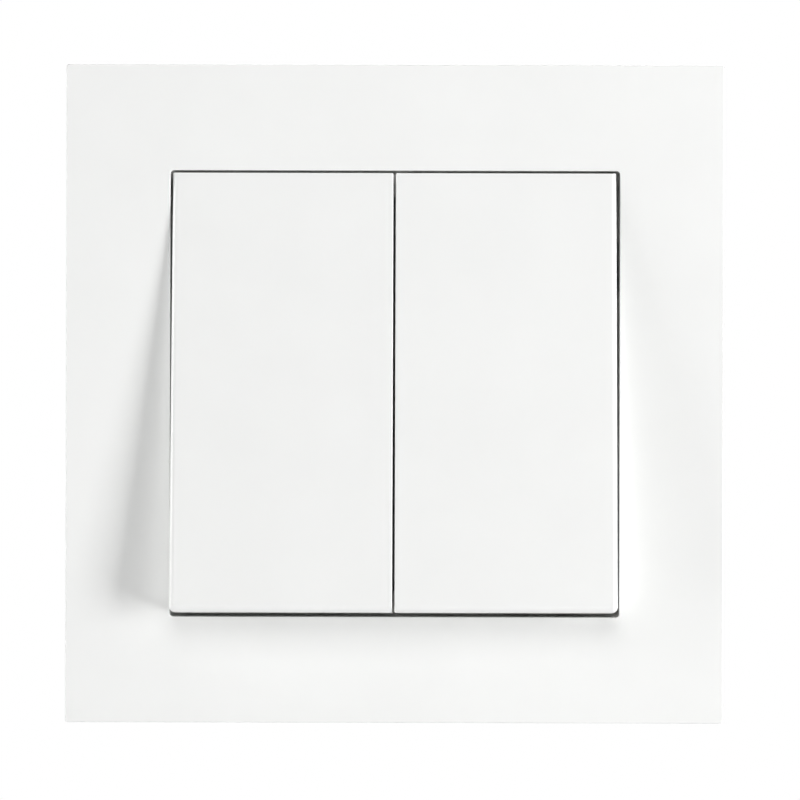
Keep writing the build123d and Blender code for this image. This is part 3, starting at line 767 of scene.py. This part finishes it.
class SWITCH_OT_cover_frame(bpy.types.Operator):
    """Model the square cover frame with its collar, ribs and catches"""

    bl_idname = "light_switch.cover_frame"
    bl_label = "Cover frame"

    def execute(self, context):
        size = settings().cover_frame
        front = size.side - 2 * size.depth * tan(size.draft)
        hollow = size.side - 2 * size.wall
        hollow_out = size.depth - size.front_wall
        collar_width = size.opening_width + 2 * size.collar_wall
        collar_height = size.opening_height + 2 * size.collar_wall
        # The section of the frame, taken once round: rim, front, opening, collar, hollow and rim again.
        outlines = [
            (size.side, size.side, 0.0),
            (front, front, -size.depth),
            (size.opening_width, size.opening_height, -size.depth),
            (size.opening_width, size.opening_height, -size.collar_out),
            (collar_width, collar_height, -size.collar_out),
            (collar_width, collar_height, -hollow_out),
            (hollow, hollow, -hollow_out),
            (hollow, hollow, 0.0),
            (size.side, size.side, 0.0),
        ]
        shell = add_sheet("cover_frame_shell", outlines[0])
        bpy.ops.mesh.bevel(offset=size.corner_radius, segments=CORNER_STEPS, affect="VERTICES")
        bpy.ops.mesh.select_all(action="SELECT")
        carry_through(outlines)
        # The first and the last face close the ring's section and go.
        bpy.ops.mesh.select_all(action="DESELECT")
        bpy.ops.mesh.select_face_by_sides(number=4, type="GREATER")
        bpy.ops.mesh.delete(type="FACE")
        clean_mesh()
        self.widen_opening_corners(shell, size)

        reach = (front + size.opening_width) / 4
        pick_edges(shell, lambda co: near(co.y, -size.depth) and max(abs(co.x), abs(co.z)) > reach)
        bpy.ops.mesh.bevel(offset=size.edge_round, segments=EDGE_STEPS, affect="EDGES")
        pick_edges(shell, lambda co: near(co.y, -size.depth) and max(abs(co.x), abs(co.z)) < reach)
        bpy.ops.mesh.bevel(offset=size.opening_round, segments=SMALL_EDGE_STEPS, affect="EDGES")
        bpy.ops.object.mode_set(mode="OBJECT")

        inner_shapes = self.ribs_and_catches(size, hollow, hollow_out, collar_width, collar_height)
        combine(shell, inner_shapes, "UNION")
        smooth(shell)
        seat(shell, "housing", "white_gloss", "cover_frame")
        return {"FINISHED"}

    def widen_opening_corners(self, shell, size):
        """Gives the opening's corners a larger radius than the one that the frame's outline leaves."""
        radius_x = size.corner_radius * size.opening_width / size.side
        radius_z = size.corner_radius * size.opening_height / size.side
        growth = (size.opening_corner / radius_x, 1.0, size.opening_corner / radius_z)
        for x in (-size.opening_width / 2, size.opening_width / 2):
            for z in (-size.opening_height / 2, size.opening_height / 2):
                pick_edges(
                    shell,
                    lambda co: abs(co.x - x) < 2 * radius_x and abs(co.z - z) < 2 * radius_z,
                )
                bpy.ops.transform.resize(value=growth, center_override=(x, 0.0, z))

    def ribs_and_catches(self, size, hollow, hollow_out, collar_width, collar_height):
        """The ribs between collar and outer wall, and the catches on the collar, as one tool."""
        blocks = []
        for place in (size.latch_place - size.rib_pitch, size.latch_place + size.rib_pitch):
            for along in (-place, place):
                for side in (-1, 1):
                    low, high = sorted((side * (collar_width / 2 - BITE), side * (hollow / 2 + BITE)))
                    blocks.append(
                        add_block(
                            "rib",
                            (low, -hollow_out - BITE, along - size.rib / 2),
                            (high, size.rib_depth - hollow_out, along + size.rib / 2),
                        )
                    )
                    low, high = sorted((side * (collar_height / 2 - BITE), side * (hollow / 2 + BITE)))
                    blocks.append(
                        add_block(
                            "rib",
                            (along - size.rib / 2, -hollow_out - BITE, low),
                            (along + size.rib / 2, size.rib_depth - hollow_out, high),
                        )
                    )
        for side in (-1, 1):
            for along in (-size.latch_place, size.latch_place):
                low, high = sorted(
                    (side * (collar_width / 2 - BITE), side * (collar_width / 2 + size.catch_reach))
                )
                blocks.append(
                    add_block(
                        "catch",
                        (low, -size.collar_out - size.catch_depth, along - size.catch_width / 2),
                        (high, -size.collar_out, along + size.catch_width / 2),
                    )
                )
        return join_blocks(blocks)


class SWITCH_OT_rockers(bpy.types.Operator):
    """Model the right rocker with its skirt, ribs and hooks, and its mirrored twin on the left"""

    bl_idname = "light_switch.rockers"
    bl_label = "Rockers"

    def execute(self, context):
        size = settings().rocker
        right = self.cap(size)
        combine(right, self.ribs_and_hooks(size), "UNION")
        # The cap is modelled level, with its pivot at the origin, and then turned into the rest pose.
        right.rotation_euler = (REST_TILT, 0.0, 0.0)
        right.location = ROCKER_PIVOT
        fix_place(right)
        left = copy_of(right, "left_rocker_cap")
        left.scale = (-1.0, 1.0, 1.0)
        fix_place(left)
        for piece, hand in ((right, "right"), (left, "left")):
            piece.location = (-size.play, 0.0, 0.0)
            fix_place(piece)
            smooth(piece)
            seat(piece, hand + "_switch", "white_gloss", hand + "_rocker")
        return {"FINISHED"}

    def cap(self, size):
        """The shell of the right rocker: face and skirt, with each edge rounded by its own radius."""
        low = Vector((size.middle_ease - size.width / 2, 0.0, -size.height / 2))
        high = Vector((size.width / 2, 0.0, size.height / 2 - size.upper_ease))
        width, _, height = high - low
        middle = ((low.x + high.x) / 2, (low.z + high.z) / 2)
        inner_width = width - 2 * size.skirt_wall
        inner_height = height - 2 * size.skirt_wall
        outlines = [
            (inner_width, inner_height, size.front_wall - size.face_rise),
            (inner_width, inner_height, size.skirt_drop),
            (width, height, size.skirt_drop),
            (width, height, -size.face_rise),
        ]
        cap = add_sheet("right_rocker_cap", outlines[0], middle)
        carry_through(outlines, middle)
        clean_mesh()
        self.weigh_edges(cap, size, low, high)
        bpy.ops.object.mode_set(mode="OBJECT")
        rounds = cap.modifiers.new("Edge rounds", "BEVEL")
        rounds.limit_method = "WEIGHT"
        rounds.offset_type = "OFFSET"
        rounds.width = size.lower_round
        rounds.segments = CORNER_STEPS
        apply_modifiers(cap)
        return cap

    def weigh_edges(self, cap, size, low, high):
        """Sets how much of the largest radius each edge of the cap gets."""
        net = bmesh.from_edit_mesh(cap.data)
        weight = net.edges.layers.float.new("bevel_weight_edge")
        for edge in net.edges:
            ends = [corner.co for corner in edge.verts]
            on_face = all(near(end.y, -size.face_rise) for end in ends)
            on_outer_side = all(near(end.x, high.x) for end in ends)
            on_inner_side = all(near(end.x, low.x) for end in ends)
            on_bottom = all(near(end.z, low.z) for end in ends)
            on_top = all(near(end.z, high.z) for end in ends)
            on_side = on_outer_side or on_inner_side
            radius = 0.0
            if on_face and on_outer_side:
                radius = size.outer_round
            elif on_face and on_bottom:
                radius = size.lower_round
            elif on_face:
                radius = size.small_round
            elif on_outer_side and on_bottom:
                radius = size.outer_round
            elif on_side and (on_top or on_bottom):
                radius = size.small_round
            edge[weight] = radius / size.lower_round
        bmesh.update_edit_mesh(cap.data)

    def ribs_and_hooks(self, size):
        """The ribs that rest on the cradle and the hooks that hold it, as one tool."""
        ceiling = size.front_wall - size.face_rise
        blocks = []
        for side in (-size.rib_offset, size.rib_offset):
            blocks.append(
                add_block(
                    "rib",
                    (side - size.rib / 2, ceiling - BITE, -size.rib_height / 2),
                    (side + size.rib / 2, ceiling + size.rib_depth, size.rib_height / 2),
                )
            )
        for side in (-1, 1):
            blocks.append(self.hook(size, ceiling - BITE, side))
        return join_blocks(blocks)

    def hook(self, size, root, side):
        """One hook: an arm behind the face, whose end is drawn out to a barb and tapers to its tip."""
        barb = root + size.hook_neck
        inner = side * size.hook_place
        near_face, far_face = sorted((inner, inner + side * size.hook_wall))
        hook = add_block(
            "hook",
            (-size.hook_width / 2, root, near_face),
            (size.hook_width / 2, barb, far_face),
        )
        bpy.ops.object.mode_set(mode="EDIT")
        bpy.ops.mesh.select_mode(type="FACE")
        bpy.ops.mesh.select_all(action="DESELECT")
        net = bmesh.from_edit_mesh(hook.data)
        for face in net.faces:
            face.select_set(face.normal.y > cos(SHARP_ANGLE))
        bmesh.update_edit_mesh(hook.data)
        bpy.ops.mesh.extrude_region_move()
        bpy.ops.transform.resize(
            value=(1.0, 1.0, (size.hook_wall + size.hook_barb) / size.hook_wall),
            center_override=(0.0, barb, inner),
        )
        extrude(size.hook_length)
        bpy.ops.transform.resize(
            value=(1.0, 1.0, size.hook_wall / (size.hook_wall + size.hook_barb)),
            center_override=(0.0, barb, inner),
        )
        bpy.ops.object.mode_set(mode="OBJECT")
        return hook


class SWITCH_OT_support_plate(bpy.types.Operator):
    """Model the punched steel plate with its holes and stiffening beads"""

    bl_idname = "light_switch.support_plate"
    bl_label = "Support plate"

    def execute(self, context):
        size = settings().plate
        outline = (size.side, size.side, 0.0)
        plate = add_cut_corner_sheet("support_plate_sheet", outline, size.corner_cut, size.corner_round)
        extrude(-size.thickness)
        clean_mesh()
        bpy.ops.object.mode_set(mode="OBJECT")

        combine(plate, join_blocks([self.bead(size, turn) for turn in CORNER_TURNS]), "UNION")
        combine(plate, self.punch(size), "DIFFERENCE")
        round_edges(plate, size.edge_round, steps=2)
        smooth(plate)
        seat(plate, "housing", "zinc_steel", "support_plate")
        return {"FINISHED"}

    def bead_middle(self, size, turn):
        """Where the middle of a bead lies, for the turn of its corner."""
        return (size.bead_place * sin(turn), size.bead_place * cos(turn))

    def bead(self, size, turn):
        """The ridge that a bead raises on the front of the plate."""
        return add_rounded_block(
            "bead", size.bead_length, size.bead_width, size.bead_width / 2, BITE - size.thickness,
            -size.thickness - size.bead_rise, self.bead_middle(size, turn), turn,
        )

    def punch(self, size):
        """Everything that is cut out of the plate, as one tool."""
        before = -size.thickness - BITE
        cuts = [
            add_rounded_block(
                "window", size.window_width, size.window_height, size.window_round, before, BITE
            )
        ]
        for side in (-size.box_screw_place, size.box_screw_place):
            for place in ((side, 0.0), (0.0, side)):
                cuts.append(add_rod("box_screw_hole", size.box_screw_hole, before, BITE, place))
        for place in four_corners(size.screw_place):
            cuts.append(add_rod("screw_hole", size.screw_hole, before, BITE, place))
        groove_width = size.bead_width - 2 * size.bead_wall
        for turn in CORNER_TURNS:
            cuts.append(
                add_rounded_block(
                    "groove", size.bead_length - 2 * size.bead_wall, groove_width, groove_width / 2,
                    -size.bead_rise, BITE, self.bead_middle(size, turn), turn,
                )
            )
        return join_blocks(cuts)


class SWITCH_OT_base(bpy.types.Operator):
    """Model the moulded base with its ribbed back, wire entries, chambers and screw bosses"""

    bl_idname = "light_switch.base"
    bl_label = "Base"

    def execute(self, context):
        size = settings().base
        back = size.side - 2 * size.depth * tan(size.draft)
        outlines = [(size.side, size.side, 0.0), (back, back, size.depth)]
        base = add_cut_corner_sheet(
            "mechanism_base_box", outlines[0], size.corner_cut, size.corner_round
        )
        carry_through(outlines)
        clean_mesh()
        pick_edges(base, lambda co: near(co.y, size.depth))
        bpy.ops.mesh.bevel(offset=size.back_round, segments=SMALL_EDGE_STEPS, affect="EDGES")
        bpy.ops.object.mode_set(mode="OBJECT")
        combine(base, join_blocks(self.recesses(size) + self.funnels(size)), "DIFFERENCE")
        round_edges(base, size.edge_round, steps=2)

        floor = size.depth - size.floor
        inner = size.side - 2 * size.wall
        hollow = add_cut_corner_sheet(
            "hollow", (inner, inner, -BITE), size.corner_cut - size.wall, size.corner_round
        )
        extrude(floor + BITE)
        clean_mesh()
        bpy.ops.object.mode_set(mode="OBJECT")
        combine(base, hollow, "DIFFERENCE")
        combine(base, join_blocks(self.bosses_and_walls(size, floor)), "UNION")
        combine(base, join_blocks(self.entries(size, floor)), "DIFFERENCE")
        smooth(base)
        seat(base, "housing", "housing_plastic", "mechanism_base")
        return {"FINISHED"}

    def wires(self, size):
        """The places of all the wire entries."""
        return [
            (middle + wire, side * size.wire_place)
            for _, middle, side in terminals()
            for wire in (-size.wire_pitch / 2, size.wire_pitch / 2)
        ]

    def recesses(self, size):
        """The pockets between the ribs on the back."""
        bottom = size.depth - size.recess_depth
        half_rib = size.recess_rib / 2
        columns = (
            (-size.recess_width / 2, -size.recess_rib_place - half_rib),
            (half_rib - size.recess_rib_place, size.recess_rib_place - half_rib),
            (size.recess_rib_place + half_rib, size.recess_width / 2),
        )
        height = size.recess_height / 2 - half_rib
        pockets = []
        for left, right in columns:
            for side in (-1, 1):
                middle = ((left + right) / 2, side * (half_rib + height / 2))
                pockets.append(
                    add_rounded_block(
                        "pocket", right - left, height, size.recess_round,
                        bottom, size.depth + BITE, middle,
                    )
                )
        return pockets

    def funnels(self, size):
        """The tapering mouths of the wire entries."""
        mouths = []
        for across, up in self.wires(size):
            outlines = [
                (size.funnel_foot, size.funnel_foot, size.depth - size.funnel_depth),
                (size.funnel, size.funnel, size.depth),
                (size.funnel, size.funnel, size.depth + BITE),
            ]
            mouth = add_sheet("funnel", outlines[0])
            corner = size.funnel_foot / 4
            bpy.ops.mesh.bevel(offset=corner, segments=CORNER_STEPS, affect="VERTICES")
            bpy.ops.mesh.select_all(action="SELECT")
            carry_through(outlines)
            clean_mesh()
            bpy.ops.object.mode_set(mode="OBJECT")
            mouth.location = (across, 0.0, up)
            apply_transform()
            mouths.append(mouth)
        return mouths

    def bosses_and_walls(self, size, floor):
        """What stands on the floor inside: screw bosses, chamber walls and walls under the strips."""
        parts = [
            add_rod("boss", size.boss_radius, 0.0, floor + BITE, place)
            for place in four_corners(size.boss_place)
        ]
        walls = []
        for _, middle, side in terminals():
            height = side * (size.chamber_inner - size.chamber_wall / 2)
            walls.append((middle, height, size.chamber_length, size.chamber_wall))
        neck = size.chamber_inner - size.chamber_wall - size.support_height / 2
        walls.append((0.0, size.support_height / 2 + neck / 2, size.support_wall, neck))
        for middle in (-size.lever_place, size.lever_place):
            walls.append((middle, 0.0, size.support_wall, size.support_height))
            walls.append((middle, -size.tip_support, size.tip_support_width, size.support_wall))
        for across, up, width, height in walls:
            parts.append(
                add_block(
                    "wall",
                    (across - width / 2, size.strip_deep, up - height / 2),
                    (across + width / 2, floor + BITE, up + height / 2),
                )
            )
        return parts

    def entries(self, size, floor):
        """The holes for wires and keys through the back, and the pilot holes for the screws."""
        start = floor - BITE
        end = size.depth + BITE
        cuts = [
            add_rounded_block(
                "wire_entry", size.wire_hole, size.wire_hole, size.wire_round, start, end, place
            )
            for place in self.wires(size)
        ]
        for _, middle, side in terminals():
            up = side * size.key_place
            cuts.append(
                add_block(
                    "key_slot",
                    (middle - size.key_slot_width / 2, start, up - size.key_slot_height / 2),
                    (middle + size.key_slot_width / 2, end, up + size.key_slot_height / 2),
                )
            )
        for place in four_corners(size.boss_place):
            cuts.append(add_rod("pilot", size.pilot_radius, -BITE, size.pilot_depth, place))
        return cuts


class SWITCH_OT_release_keys(bpy.types.Operator):
    """Model a release key with a dish for the screwdriver, and copy it to the three terminals"""

    bl_idname = "light_switch.release_keys"
    bl_label = "Release keys"

    def execute(self, context):
        key = self.first_key(settings().key)
        for terminal in ("common", "left", "right"):
            low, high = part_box(terminal + "_release_key")
            piece = copy_of(key, terminal + "_key")
            piece.location = ((low.x + high.x) / 2, 0.0, (low.z + high.z) / 2)
            make_active(piece)
            apply_transform()
            seat(piece, terminal + "_key", "key_plastic", terminal + "_release_key")
        bpy.data.objects.remove(key)
        return {"FINISHED"}

    def first_key(self, size):
        """A key on the middle axis: a broad body inside the base and a stem with a dished end."""
        width = KEY_HIGH.x - KEY_LOW.x
        height = KEY_HIGH.z - KEY_LOW.z
        shoulder = KEY_HIGH.y - size.stem_length
        outlines = [
            (width, height, KEY_LOW.y),
            (width, height, shoulder),
            (size.stem_width, height, shoulder),
            (size.stem_width, height, KEY_HIGH.y),
        ]
        key = add_sheet("release_key", outlines[0])
        carry_through(outlines)
        bpy.ops.mesh.inset(thickness=size.dish_rim)
        extrude(-size.dish_depth)
        bpy.ops.transform.resize(
            value=(DISH_TAPER, 1.0, DISH_TAPER), center_override=(0.0, KEY_HIGH.y, 0.0)
        )
        clean_mesh()
        bpy.ops.object.mode_set(mode="OBJECT")
        round_edges(key, size.edge_round, steps=3)
        smooth(key)
        return key


class SWITCH_OT_plunger_springs(bpy.types.Operator):
    """Wind a coil spring, and copy it to the two plungers that press it together"""

    bl_idname = "light_switch.plunger_springs"
    bl_label = "Plunger springs"

    def execute(self, context):
        size = settings().spring
        coil = self.coil(size)
        for hand, side in (("left", -1), ("right", 1)):
            spring = copy_of(coil, hand + "_spring")
            spring.rotation_euler = (REST_TILT, 0.0, 0.0)
            spring.location = (side * size.place, ROCKER_PIVOT.y, ROCKER_PIVOT.z)
            fix_place(spring)
            smooth(spring)
            seat(spring, hand + "_switch", "spring_steel", hand + "_plunger_spring")
            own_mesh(spring)
        bpy.data.objects.remove(coil)
        return {"FINISHED"}

    def coil(self, size):
        """A coil along Y that starts at its seat, level, with the pivot at the origin."""
        bpy.ops.object.select_all(action="DESELECT")
        bpy.ops.mesh.primitive_circle_add(
            vertices=WIRE_SIDES,
            radius=size.wire_radius,
            location=(size.coil_radius, 0.0, 0.0),
            rotation=(pi / 2, 0.0, 0.0),
        )
        coil = bpy.context.object
        coil.name = "plunger_spring_coil"
        apply_transform()
        winding = coil.modifiers.new("Winding", "SCREW")
        winding.axis = "Z"
        winding.angle = 2 * pi
        winding.iterations = size.coils
        winding.screw_offset = (size.coil_length - 2 * size.wire_radius) / size.coils
        winding.steps = COIL_STEPS
        apply_modifiers(coil)
        bpy.ops.object.mode_set(mode="EDIT")
        bpy.ops.mesh.select_all(action="SELECT")
        bpy.ops.mesh.remove_doubles(threshold=MERGE_DISTANCE)
        bpy.ops.mesh.fill_holes(sides=0)
        bpy.ops.object.mode_set(mode="OBJECT")
        coil.rotation_euler = (-pi / 2, 0.0, 0.0)
        coil.location = (0.0, size.wire_radius - size.seat_out, 0.0)
        fix_place(coil)
        return coil


class SWITCH_OT_clamps(bpy.types.Operator):
    """Bend a spring clamp, and copy it in pairs to the three terminals, where the keys press it"""

    bl_idname = "light_switch.clamps"
    bl_label = "Clamps"

    def execute(self, context):
        size = settings().clamp
        half_pitch = settings().base.wire_pitch / 2
        clamp = self.first_clamp(size)
        for terminal, middle, side in terminals():
            pair = []
            for wire in (-half_pitch, half_pitch):
                leaf = copy_of(clamp, terminal + "_clamp_pair")
                leaf.location = (middle + wire, 0.0, 0.0)
                leaf.scale = (1.0, 1.0, side)
                fix_place(leaf)
                pair.append(leaf)
            piece = join_blocks(pair)
            smooth(piece)
            seat(piece, "housing", "spring_steel", terminal + "_clamps")
            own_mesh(piece)
        bpy.data.objects.remove(clamp)
        return {"FINISHED"}

    def first_clamp(self, size):
        """A clamp above the middle: a straight foot, a bend and a leaf that comes back to the wire."""
        leaf = Vector((0.0, size.tip_deep - size.bend_deep, size.tip_place - size.foot_place))
        turn = Vector((0.0, 1.0, 0.0)).angle(leaf)
        tangent = size.bend_radius * tan(turn / 2)
        foot_end = size.bend_deep - tangent
        bpy.ops.object.select_all(action="DESELECT")
        bpy.ops.mesh.primitive_plane_add(
            size=1.0, location=(0.0, (size.foot_deep + foot_end) / 2, size.foot_place)
        )
        clamp = bpy.context.object
        clamp.name = "clamp"
        clamp.scale = (size.width, foot_end - size.foot_deep, 1.0)
        apply_transform()
        bpy.ops.object.mode_set(mode="EDIT")
        pick_edges(clamp, lambda co: near(co.y, foot_end))
        bpy.ops.mesh.spin(
            steps=BEND_STEPS,
            angle=-turn,
            center=(0.0, foot_end, size.foot_place + size.bend_radius),
            axis=(1.0, 0.0, 0.0),
        )
        straight = leaf.normalized() * (leaf.length - tangent)
        bpy.ops.mesh.extrude_region_move(TRANSFORM_OT_translate={"value": straight})
        clean_mesh()
        bpy.ops.object.mode_set(mode="OBJECT")
        sheet = clamp.modifiers.new("Sheet", "SOLIDIFY")
        sheet.thickness = size.thickness
        sheet.offset = 0.0
        apply_modifiers(clamp)
        round_edges(clamp, size.edge_round, steps=1)
        return clamp


# Each lamp with the angles that it spans along the face and over it.
LAMP_SPANS = (
    ("key", radians(40), radians(16)),
    ("fill", radians(50), radians(30)),
    ("low", radians(60), radians(14)),
    ("front", radians(60), radians(30)),
    ("back", radians(60), radians(40)),
)
# The backdrop is white up to the first angle from straight behind the switch and ends at the second.
BACKDROP_START = radians(15)
BACKDROP_END = radians(35)
CLIP_START = 10 * MM
WHITE = (1.0, 1.0, 1.0, 1.0)
PAPER_COLOUR = (0.9, 0.9, 0.9, 1.0)
PAPER_ROUGHNESS = 0.9
PAPER_SPECULAR = 0.2


class SWITCH_OT_stage(bpy.types.Operator):
    """Set up the camera, the lamps, the pale surroundings and the floor"""

    bl_idname = "light_switch.stage"
    bl_label = "Stage"

    def execute(self, context):
        stage = settings().stage
        face = -settings().cover_frame.depth
        context.scene.view_settings.view_transform = "Standard"
        self.camera(context, stage, face)
        for name, wide, tall in LAMP_SPANS:
            self.lamp(name, stage, wide, tall)
        self.surroundings(context, stage)
        self.floor(stage)
        return {"FINISHED"}

    def camera(self, context, stage, face):
        """A camera straight in front of the switch."""
        place = (stage.camera_right, face - stage.camera_distance, -stage.camera_down)
        bpy.ops.object.camera_add(location=place, rotation=(pi / 2, stage.camera_roll, 0.0))
        camera = context.object
        camera.data.lens = camera.data.sensor_width * stage.camera_distance / stage.picture_width
        camera.data.shift_x = (stage.picture_right - stage.camera_right) / stage.picture_width
        camera.data.clip_start = CLIP_START
        context.scene.camera = camera

    def lamp(self, name, stage, wide, tall):
        """A soft panel lamp that faces the switch and spans two angles, along and over the face."""
        turn = getattr(stage, name + "_turn")
        height = getattr(stage, name + "_height")
        aim = Vector((cos(height) * cos(turn), -sin(height), cos(height) * sin(turn)))
        along = Vector((-sin(turn), 0.0, cos(turn)))
        facing = Matrix((along.cross(aim), along, aim)).transposed()
        bpy.ops.object.light_add(
            type="AREA", location=aim * stage.lamp_distance, rotation=facing.to_euler()
        )
        lamp = bpy.context.object
        lamp.name = name + "_lamp"
        lamp.data.shape = "RECTANGLE"
        lamp.data.size = 2 * stage.lamp_distance * tan(tall / 2)
        lamp.data.size_y = 2 * stage.lamp_distance * tan(wide / 2) * cos(height)
        lamp.data.energy = getattr(stage, name + "_power")

    def surroundings(self, context, stage):
        """A white backdrop behind the switch, pale grey on the other sides and a low ambient light."""
        world = bpy.data.worlds.new("Pale surroundings")
        context.scene.world = world
        world.use_nodes = True
        nodes, links = world.node_tree.nodes, world.node_tree.links
        path = nodes.new("ShaderNodeLightPath")
        seen = larger(nodes, links, path.outputs["Is Camera Ray"], path.outputs["Is Glossy Ray"])
        seen_through = larger(nodes, links, seen, path.outputs["Is Transmission Ray"])
        direction = nodes.new("ShaderNodeSeparateXYZ")
        links.new(nodes.new("ShaderNodeTexCoord").outputs["Generated"], direction.inputs["Vector"])
        backdrop = nodes.new("ShaderNodeMapRange")
        backdrop.interpolation_type = "SMOOTHSTEP"
        backdrop.inputs["From Min"].default_value = cos(BACKDROP_END)
        backdrop.inputs["From Max"].default_value = cos(BACKDROP_START)
        backdrop.inputs["To Min"].default_value = stage.side_tone
        backdrop.inputs["To Max"].default_value = 1.0
        links.new(direction.outputs["Y"], backdrop.inputs["Value"])
        strength = nodes.new("ShaderNodeMapRange")
        strength.inputs["To Min"].default_value = stage.ambient
        links.new(backdrop.outputs["Result"], strength.inputs["To Max"])
        links.new(seen_through, strength.inputs["Value"])
        background = nodes["Background"]
        background.inputs["Color"].default_value = WHITE
        links.new(strength.outputs["Result"], background.inputs["Strength"])

    def floor(self, stage):
        """A pale round floor below the switch that fades into the surroundings and keeps the shadow."""
        bpy.ops.object.select_all(action="DESELECT")
        bpy.ops.mesh.primitive_circle_add(
            vertices=FLOOR_SIDES,
            radius=stage.floor_radius,
            fill_type="NGON",
            location=(0.0, 0.0, -stage.floor_drop),
        )
        floor = bpy.context.object
        floor.name = "floor"
        apply_transform()
        floor.data.materials.append(self.floor_finish(stage))

    def floor_finish(self, stage):
        """Pale matt paper, clear from below, that fades from a third of its radius to its rim."""
        material = bpy.data.materials.new("pale_paper")
        material.use_nodes = True
        nodes, links = material.node_tree.nodes, material.node_tree.links
        shader = nodes["Principled BSDF"]
        shader.inputs["Base Color"].default_value = PAPER_COLOUR
        shader.inputs["Roughness"].default_value = PAPER_ROUGHNESS
        shader.inputs["Specular IOR Level"].default_value = PAPER_SPECULAR
        place = nodes.new("ShaderNodeTexCoord")
        distance = nodes.new("ShaderNodeVectorMath")
        distance.operation = "LENGTH"
        links.new(place.outputs["Object"], distance.inputs[0])
        fade = nodes.new("ShaderNodeMapRange")
        fade.interpolation_type = "SMOOTHSTEP"
        fade.inputs["From Min"].default_value = stage.floor_radius / 3
        fade.inputs["From Max"].default_value = stage.floor_radius
        links.new(distance.outputs["Value"], fade.inputs["Value"])
        behind = nodes.new("ShaderNodeNewGeometry")
        clear_part = larger(nodes, links, fade.outputs["Result"], behind.outputs["Backfacing"])
        clear = nodes.new("ShaderNodeBsdfTransparent")
        mix = nodes.new("ShaderNodeMixShader")
        links.new(clear_part, mix.inputs["Fac"])
        links.new(shader.outputs["BSDF"], mix.inputs[1])
        links.new(clear.outputs["BSDF"], mix.inputs[2])
        links.new(mix.outputs["Shader"], nodes["Material Output"].inputs["Surface"])
        return material


STEPS = (
    SWITCH_OT_finishes,
    SWITCH_OT_cover_frame,
    SWITCH_OT_rockers,
    SWITCH_OT_support_plate,
    SWITCH_OT_base,
    SWITCH_OT_release_keys,
    SWITCH_OT_plunger_springs,
    SWITCH_OT_clamps,
    SWITCH_OT_stage,
)


class SWITCH_PT_sidebar(bpy.types.Panel):
    """The steps that model and finish the switch"""

    bl_idname = "SWITCH_PT_sidebar"
    bl_label = "Double Light Switch"
    bl_space_type = "VIEW_3D"
    bl_region_type = "UI"
    bl_category = "Light Switch"

    def draw(self, context):
        for step in STEPS:
            self.layout.operator(step.bl_idname)


GROUPS = (
    FrameSizes, RockerSizes, PlateSizes, BaseSizes, KeySizes, SpringSizes, ClampSizes, FinishColours,
    StageSetup, SwitchSettings,
)


def register():
    for entry in GROUPS + STEPS + (SWITCH_PT_sidebar,):
        bpy.utils.register_class(entry)
    bpy.types.Scene.light_switch = PointerProperty(type=SwitchSettings)


def unregister():
    del bpy.types.Scene.light_switch
    for entry in reversed(GROUPS + STEPS + (SWITCH_PT_sidebar,)):
        bpy.utils.unregister_class(entry)


def main():
    register()
    bpy.ops.light_switch.finishes()
    bpy.ops.light_switch.cover_frame()
    bpy.ops.light_switch.rockers()
    bpy.ops.light_switch.support_plate()
    bpy.ops.light_switch.base()
    bpy.ops.light_switch.release_keys()
    bpy.ops.light_switch.plunger_springs()
    bpy.ops.light_switch.clamps()
    bpy.ops.light_switch.stage()


if __name__ == "__main__":
    main()
